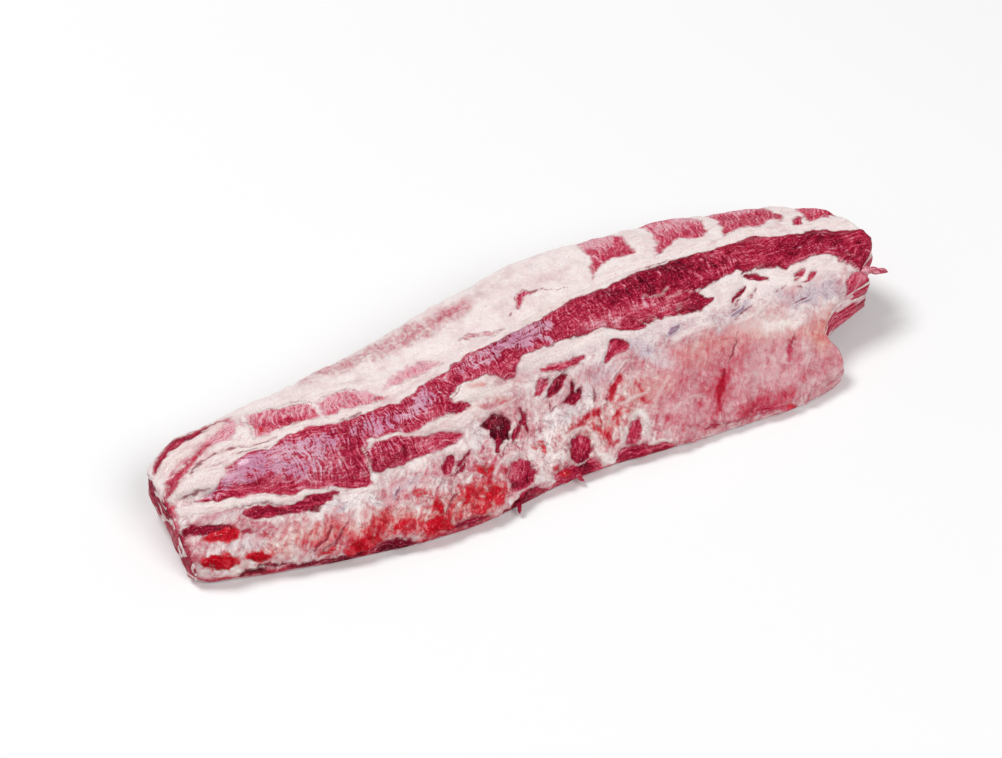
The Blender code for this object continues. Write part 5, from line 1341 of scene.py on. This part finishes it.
def paint(piece, tissue, material):
    for key in ("flesh", "raw", "grain", "wet", "marks"):
        store(piece, key, tissue[key])
    piece.data.materials.append(material)


def close_ends(points, quads, count, upper, lower):
    """The faces of a loft, with its first and last rings closed between their two chains."""
    last = len(points) - count
    faces = quads.tolist()
    faces += bridge_chains(points, upper, lower)
    faces += bridge_chains(points, [last + i for i in upper], [last + i for i in lower])
    return faces


# How many rings run along the side, and how many fill each cut end.
LENGTH_RINGS, END_RINGS = 400, 16
# Points of a ring: on the open skin, in the bed under the cover, on the sawn face and beneath.
OPEN_POINTS, BED_POINTS, FACE_POINTS, UNDER_POINTS = 128, 12, 22, 56
# Where the sawn face ends, in knots round the section, and the least thickness of the cover.
FACE_ENDS, COVER_RIM = 15.0, 0.0014
# How far each cut end swells out.
END_BELLY = 0.0006

share = crowded_shares(LENGTH_RINGS)
cover_first = station((9.6, 8.4, 7.25, 7.1, 7.45, 7.3), share)
cover_last = 12.3
cover_deep = station((0.0036, 0.0056, 0.0062, 0.0062, 0.0060, 0.0044), share)
bed = np.linspace(0.0, 1.0, BED_POINTS)
knots, sunk = [], []
for start, deep in zip(cover_first, cover_deep):
    visible = np.linspace(0.35, start + 0.15, OPEN_POINTS)
    under_cover = start + 0.2 + (cover_last - start - 0.2) * bed
    depth = 0.0016 + (deep - COVER_RIM) * np.sin(np.pi * bed) ** 0.7
    face = np.linspace(cover_last + 0.08, FACE_ENDS, FACE_POINTS)
    under = np.linspace(15.2, 25.8, UNDER_POINTS)
    knots.append(np.concatenate([visible, under_cover, face, under]))
    sunk.append(np.concatenate([0 * visible, depth, 0 * face, 0 * under]))
knots, sunk = np.array(knots), np.array(sunk)
rings, places = lay_skin(share, knots, sunk)
count = knots.shape[1]
top_count = count - UNDER_POINTS
upper = list(range(top_count))
lower = [0] + list(range(count - 1, top_count - 1, -1)) + [top_count - 1]
neck_rings, neck_places = cap_rings(rings[0], places[0], upper, lower, -1, END_RINGS, END_BELLY)
loin_rings, loin_places = cap_rings(rings[-1], places[-1], upper, lower, 1, END_RINGS, END_BELLY)
all_rings = np.array(neck_rings[::-1] + list(rings) + loin_rings)
all_places = np.array(neck_places[::-1] + list(places) + loin_places)
points = all_rings.reshape(-1, 3) + LOFT_ZERO
place = all_places.reshape(-1, 3)
quads = ring_faces(len(all_rings), count)
normals = face_normals_at_points(points, quads)
if (normals[:, 2] * (points[:, 2] - 0.02)).sum() < 0:
    normals = -normals
neck_knots, loin_knots = (np.tile(knots[end], (END_RINGS, 1)) for end in (0, -1))
knot_of = np.concatenate([neck_knots, knots, loin_knots]).ravel()
ring_of = np.repeat(np.arange(len(all_rings)), count)
on_end = (ring_of < END_RINGS) | (ring_of >= len(all_rings) - END_RINGS)
on_top = (knot_of < cover_last) & ~on_end
on_face = (knot_of >= cover_last) & (knot_of <= FACE_ENDS) & ~on_end
beneath = ~on_top & ~on_face & ~on_end
painters = ((on_end, paint_cut_end), (on_face, paint_sawn_face), (beneath, paint_rib_cage))
tissue = paint_tissue(place)
for zone, painter in painters:
    painted = painter(points[zone] * 100, place[zone])
    for key, columns in painted.items():
        for column, values in zip(tissue[key], columns):
            column[zone] = values
points = points + normals * (tissue["proud"][0] * 0.001)[:, None]
points[:, 2] = np.maximum(points[:, 2], 0.0)
meat = new_piece("meat_skin", points, close_ends(points, quads, count, upper, lower))
flesh_material = raw_flesh_material("raw_lamb_flesh")
paint(meat, tissue, flesh_material)
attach(meat, "root")
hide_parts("meat")


# ---------------------------------------------------------------------------------------------
# The fat cover: a soft blanket of cream fat over the back of the crest and the top of the sawn
# face, with a wavy near edge.  Patches of lean show through it, more of them towards the loin.
# ---------------------------------------------------------------------------------------------

COVER_TOP_POINTS, COVER_BELOW_POINTS = 96, 24

share = crowded_shares(LENGTH_RINGS)
across_cover = np.linspace(0.0, 1.0, COVER_TOP_POINTS)
beneath = np.linspace(1.0, 0.0, COVER_BELOW_POINTS)
knots, sunk = [], []
for start, deep in zip(cover_first, cover_deep):
    top = start + (cover_last - start) * across_cover
    below = start + (cover_last - start) * beneath
    knots.append(np.concatenate([top, below]))
    thick = COVER_RIM + (deep - COVER_RIM) * np.sin(np.pi * beneath) ** 0.7
    sunk.append(np.concatenate([0 * top, thick]))
knots, sunk = np.array(knots), np.array(sunk)
rings, places = lay_skin(share, knots, sunk)
count = knots.shape[1]
upper = list(range(COVER_TOP_POINTS))
lower = list(range(count - 1, COVER_TOP_POINTS - 1, -1))
points = rings.reshape(-1, 3) + LOFT_ZERO
place = places.reshape(-1, 3)
quads = ring_faces(len(rings), count)
normals = face_normals_at_points(points, quads)
on_top = np.arange(len(points)) % count < COVER_TOP_POINTS
if (normals[:, 2] * on_top).sum() < 0:
    normals = -normals
tissue = paint_tissue(place)
points = points + normals * (tissue["proud"][0] * 0.001 * on_top)[:, None]
cover = new_piece("fat_blanket", points, close_ends(points, quads, count, upper, lower))
paint(cover, tissue, flesh_material)
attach(cover, "root")
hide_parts("fat_cover")


# ---------------------------------------------------------------------------------------------
# Ten ribs lie in the under side, from tips just inside the thin edge to sawn roots that stand a
# little proud of the face.  Silverskin covers the bone, and a root shows dark marrow in a pale rim.
# ---------------------------------------------------------------------------------------------

ROOT_HALF_WIDTH, TIP_HALF_WIDTH = 0.0072, 0.0048
ROOT_HALF_THICKNESS, TIP_HALF_THICKNESS = 0.0052, 0.0032
RIB_SHOWS_BELOW, RIB_ABOVE_FLOOR = 0.0012, 0.0020
RIB_RINGS, RIB_SIDES, RIB_CAP_RINGS = 64, 28, 7
# Share of the width where a tip ends, how far a root stands proud, and how squared a rib is.
RIB_STARTS, ROOT_PROUD, RIB_SQUARENESS = 0.036, 0.0020, 2.6


def rib_bone_material():
    made, shader = empty_material("rib_bone")
    spot = Shade.node("TexCoord", {}, {}, "Object")
    from_middle, cut, _ = parts_of(attribute("bone"))
    fine = cloud(spot, 1500.0, 3.0)
    small = cloud(spot, 420.0, 4.0, 0.5)
    broad = cloud(spot, 90.0, 3.0)
    drawn = cloud(stretched(spot, 420.0, 60.0, 420.0), 1.0, 4.0, 0.6)
    skin = ramp(
        broad * 0.6 + drawn * 0.5,
        (0.30, 196, 158, 178),
        (0.48, 226, 208, 216),
        (0.66, 240, 228, 226),
    )
    skin = mix(small.lines(0.05) * 0.4, skin, linear(150, 84, 118))
    skin = mix(drawn.span(0.60, 0.70) * 0.6, skin, linear(158, 92, 128))
    marrow = ramp(
        fine * 0.5 + small * 0.5,
        (0.36, 84, 18, 26),
        (0.50, 138, 58, 54),
        (0.64, 198, 140, 118),
    )
    in_rim = (from_middle + (small - 0.5) * 0.25).span(0.66, 0.76)
    cut_face = mix(in_rim, marrow, linear(236, 220, 202))
    at_skin = (from_middle + (small - 0.5) * 0.2).span(0.90, 0.98)
    cut_face = mix(at_skin, cut_face, linear(186, 96, 106))
    mix(cut, skin, cut_face).feed(shader, "Base Color")
    small.span(0.35, 0.65, 0.34, 0.52).feed(shader, "Roughness")
    height = drawn * 0.6 + small * 0.4 + fine * cut * 0.8
    bump(shader, height, 0.7, 0.0006)
    values = {
        "Subsurface Weight": 0.10,
        "Subsurface Radius": (0.0014, 0.0007, 0.0006),
        "Subsurface Scale": 1.0,
        "Specular IOR Level": 0.25,
        "Coat Weight": 0.25,
        "Coat Roughness": 0.15,
    }
    set_values(shader, values)
    return made


def rib_rings(rib):
    """Rings along a rib from its tip to its root, a little knobbly, then in over both cut ends."""
    turn = np.linspace(0, 2 * np.pi, RIB_SIDES, endpoint=False)
    rings, marks = [], []
    for along in np.linspace(RIB_STARTS, 1.0, RIB_RINGS):
        across = np.array([along])
        x = rib_line(rib, across)[0]
        start, end = neck_end_x(across)[0], loin_end_x(across)[0]
        part = np.clip((x - start) / (end - start), 0.0, 1.0)
        near = station(NEAR_EDGE_Y, np.array([part]))[0]
        width = station(SAWN_FACE_Y, np.array([part]))[0] - near
        under_across, under_height = section(np.array([part]), np.linspace(25.9, 14.9, 89)[None, :])
        under = np.interp(along, under_across[0], under_height[0])
        knob = 1 + 0.05 * math.sin(9 * along + 2.1 * rib) + 0.04 * math.sin(23 * along + rib)
        half_width = TIP_HALF_WIDTH + (ROOT_HALF_WIDTH - TIP_HALF_WIDTH) * along
        half_thick = TIP_HALF_THICKNESS + (ROOT_HALF_THICKNESS - TIP_HALF_THICKNESS) * along
        half_width, half_thick = half_width * knob, half_thick / knob
        low = max(under - RIB_SHOWS_BELOW, RIB_ABOVE_FLOOR)
        corner = np.abs(np.cos(turn)) ** RIB_SQUARENESS + np.abs(np.sin(turn)) ** RIB_SQUARENESS
        squared = 1 / corner ** (1 / RIB_SQUARENESS)
        ring_x = x + half_width * squared * np.cos(turn)
        ring_z = low + half_thick + half_thick * squared * np.sin(turn)
        rings.append(np.stack([ring_x, np.full_like(ring_x, near + width * along), ring_z], axis=1))
        marks.append(np.stack([1 + 0 * turn, 0 * turn, along + 0 * turn], axis=1))
    rings[-1][:, 1] += ROOT_PROUD
    for at, last in ((0, rings[0]), (len(rings), rings[-1])):
        middle = last.mean(axis=0)
        outward = -1 if at == 0 else 1
        caps, cap_marks = [], []
        for step in range(RIB_CAP_RINGS):
            radius = 1 - (step + 0.4) / RIB_CAP_RINGS
            cap = middle + (last - middle) * radius
            cap[:, 1] += outward * 0.0003 * (radius > 0.7)
            caps.append(cap)
            cap_marks.append(np.stack([radius + 0 * turn, 1 + 0 * turn, 0 * turn], axis=1))
        if at == 0:
            rings, marks = caps[::-1] + rings, cap_marks[::-1] + marks
        else:
            rings, marks = rings + caps, marks + cap_marks
    return np.array(rings) + LOFT_ZERO, np.array(marks)


bone_material = rib_bone_material()
for rib in range(RIBS):
    name = f"rib_{rib + 1:02d}"
    rings, marks = rib_rings(rib)
    faces = ring_faces(len(rings), RIB_SIDES).tolist()
    last = (len(rings) - 1) * RIB_SIDES
    faces += [list(range(RIB_SIDES)), list(range(last, last + RIB_SIDES))]
    bone = new_piece(name + "_bone", rings.reshape(-1, 3), faces)
    store(bone, "bone", list(marks.reshape(-1, 3).T))
    bone.data.materials.append(bone_material)
    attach(bone, "root")
    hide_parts(name)


# ---------------------------------------------------------------------------------------------
# Torn shreds of meat and membrane: two at the loin end and two under the thin edge, each a soft
# tongue that grows out of the flesh and thins to its tip.
# ---------------------------------------------------------------------------------------------

# Name, root, tip, width, thickness and tone.
SHREDS = (
    ("loin_tongue", (0.1650, -0.0185, 0.0330), (0.1945, -0.0178, 0.0300), 0.0080, 0.0048, 0.75),
    ("loin_spur", (0.1800, -0.0040, 0.0345), (0.1935, -0.0028, 0.0355), 0.0065, 0.0045, 0.5),
    ("edge_drop", (-0.0450, -0.0650, 0.0060), (-0.0460, -0.0722, 0.0022), 0.0044, 0.0040, 0.3),
    ("edge_shred", (-0.0120, -0.0590, 0.0050), (-0.0080, -0.0662, 0.0028), 0.0050, 0.0035, 0.55),
)

for name, root, tip, width, thickness, tone in SHREDS:
    bpy.ops.mesh.primitive_ico_sphere_add(subdivisions=5, radius=0.5)
    shred = bpy.context.object
    shred.name = name
    points = np.array([vert.co for vert in shred.data.vertices])
    root, tip = Vector(root), Vector(tip)
    length = (tip - root).length
    turn = np.array((tip - root).to_track_quat("X", "Z").to_matrix())
    along = points[:, 0] + 0.5
    taper = 1 - 0.55 * along
    uneven = 0.10 * rough(along * 4 + width * 900, points[:, 1] * 3, 0.8, 61)
    beside, above = points[:, 1] * width * taper, points[:, 2] * thickness * taper
    points = np.stack([along * length, beside, above], axis=1)
    points[:, 2] += (0.12 * np.sin(np.pi * along) + 0.3 * uneven) * length * 0.6
    points[:, 1] += uneven * length * 0.5
    points = points @ turn.T + np.array(root) + LOFT_ZERO
    shred.data.vertices.foreach_set("co", points.astype(np.float32).ravel())
    shred.data.update()
    shred.data.shade_smooth()
    even = 0 * along
    tissue = bare_tissue(
        lean=even + 0.2,
        tone=tone + 0.2 * uneven * 8,
        red=even + 0.3,
        busy=even + 0.4,
        milky=even,
        along=along * length * 100,
        beside=points[:, 1] * 100,
        proud=even,
    )
    paint(shred, tissue, flesh_material)
    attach(shred, "root")
    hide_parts("meat")
    shred.select_set(False)


# ---------------------------------------------------------------------------------------------
# Floor, soft studio light and camera.
# ---------------------------------------------------------------------------------------------

bpy.ops.mesh.primitive_plane_add(size=6.0, location=(0, 0, -0.0005))
floor = bpy.context.object
floor.name = "floor"
floor_material = bpy.data.materials.new("pale_floor")
floor_material.use_nodes = True
floor_shader = floor_material.node_tree.nodes["Principled BSDF"]
floor_shader.inputs["Base Color"].default_value = (0.95, 0.95, 0.95, 1)
floor_shader.inputs["Roughness"].default_value = 0.9
floor.data.materials.append(floor_material)

world = bpy.data.worlds.new("studio")
bpy.context.scene.world = world
world.use_nodes = True
world.node_tree.nodes["Background"].inputs["Color"].default_value = (1, 1, 1, 1)
world.node_tree.nodes["Background"].inputs["Strength"].default_value = 0.30


def soft_lamp(name, place, size, power):
    light = bpy.data.lights.new(name, "AREA")
    light.shape = "DISK"
    light.size = size
    light.energy = power
    lamp = bpy.data.objects.new(name, light)
    lamp.location = place
    lamp.rotation_euler = (Vector((0, 0, 0.02)) - Vector(place)).to_track_quat("-Z", "Y").to_euler()
    bpy.context.scene.collection.objects.link(lamp)


soft_lamp("key_lamp", (-1.0, 1.2, 3.0), 1.4, 64)
soft_lamp("fill_lamp", (0.6, -2.4, 2.4), 2.0, 48)

camera_data = bpy.data.cameras.new("camera")
camera_data.lens = 85
camera_data.sensor_width = 36
camera = bpy.data.objects.new("camera", camera_data)
aim = Vector((MARK_X, 0.0053, 0.01778))
azimuth, elevation, distance = math.radians(-25.5), math.radians(42.0), 1.200
level = math.cos(elevation)
back = Vector((math.sin(azimuth) * level, -math.cos(azimuth) * level, math.sin(elevation)))
camera.location = aim + back * distance
camera.rotation_euler = (-back).to_track_quat("-Z", "Y").to_euler()
bpy.context.scene.collection.objects.link(camera)
bpy.context.scene.camera = camera
bpy.context.scene.view_settings.view_transform = "Standard"
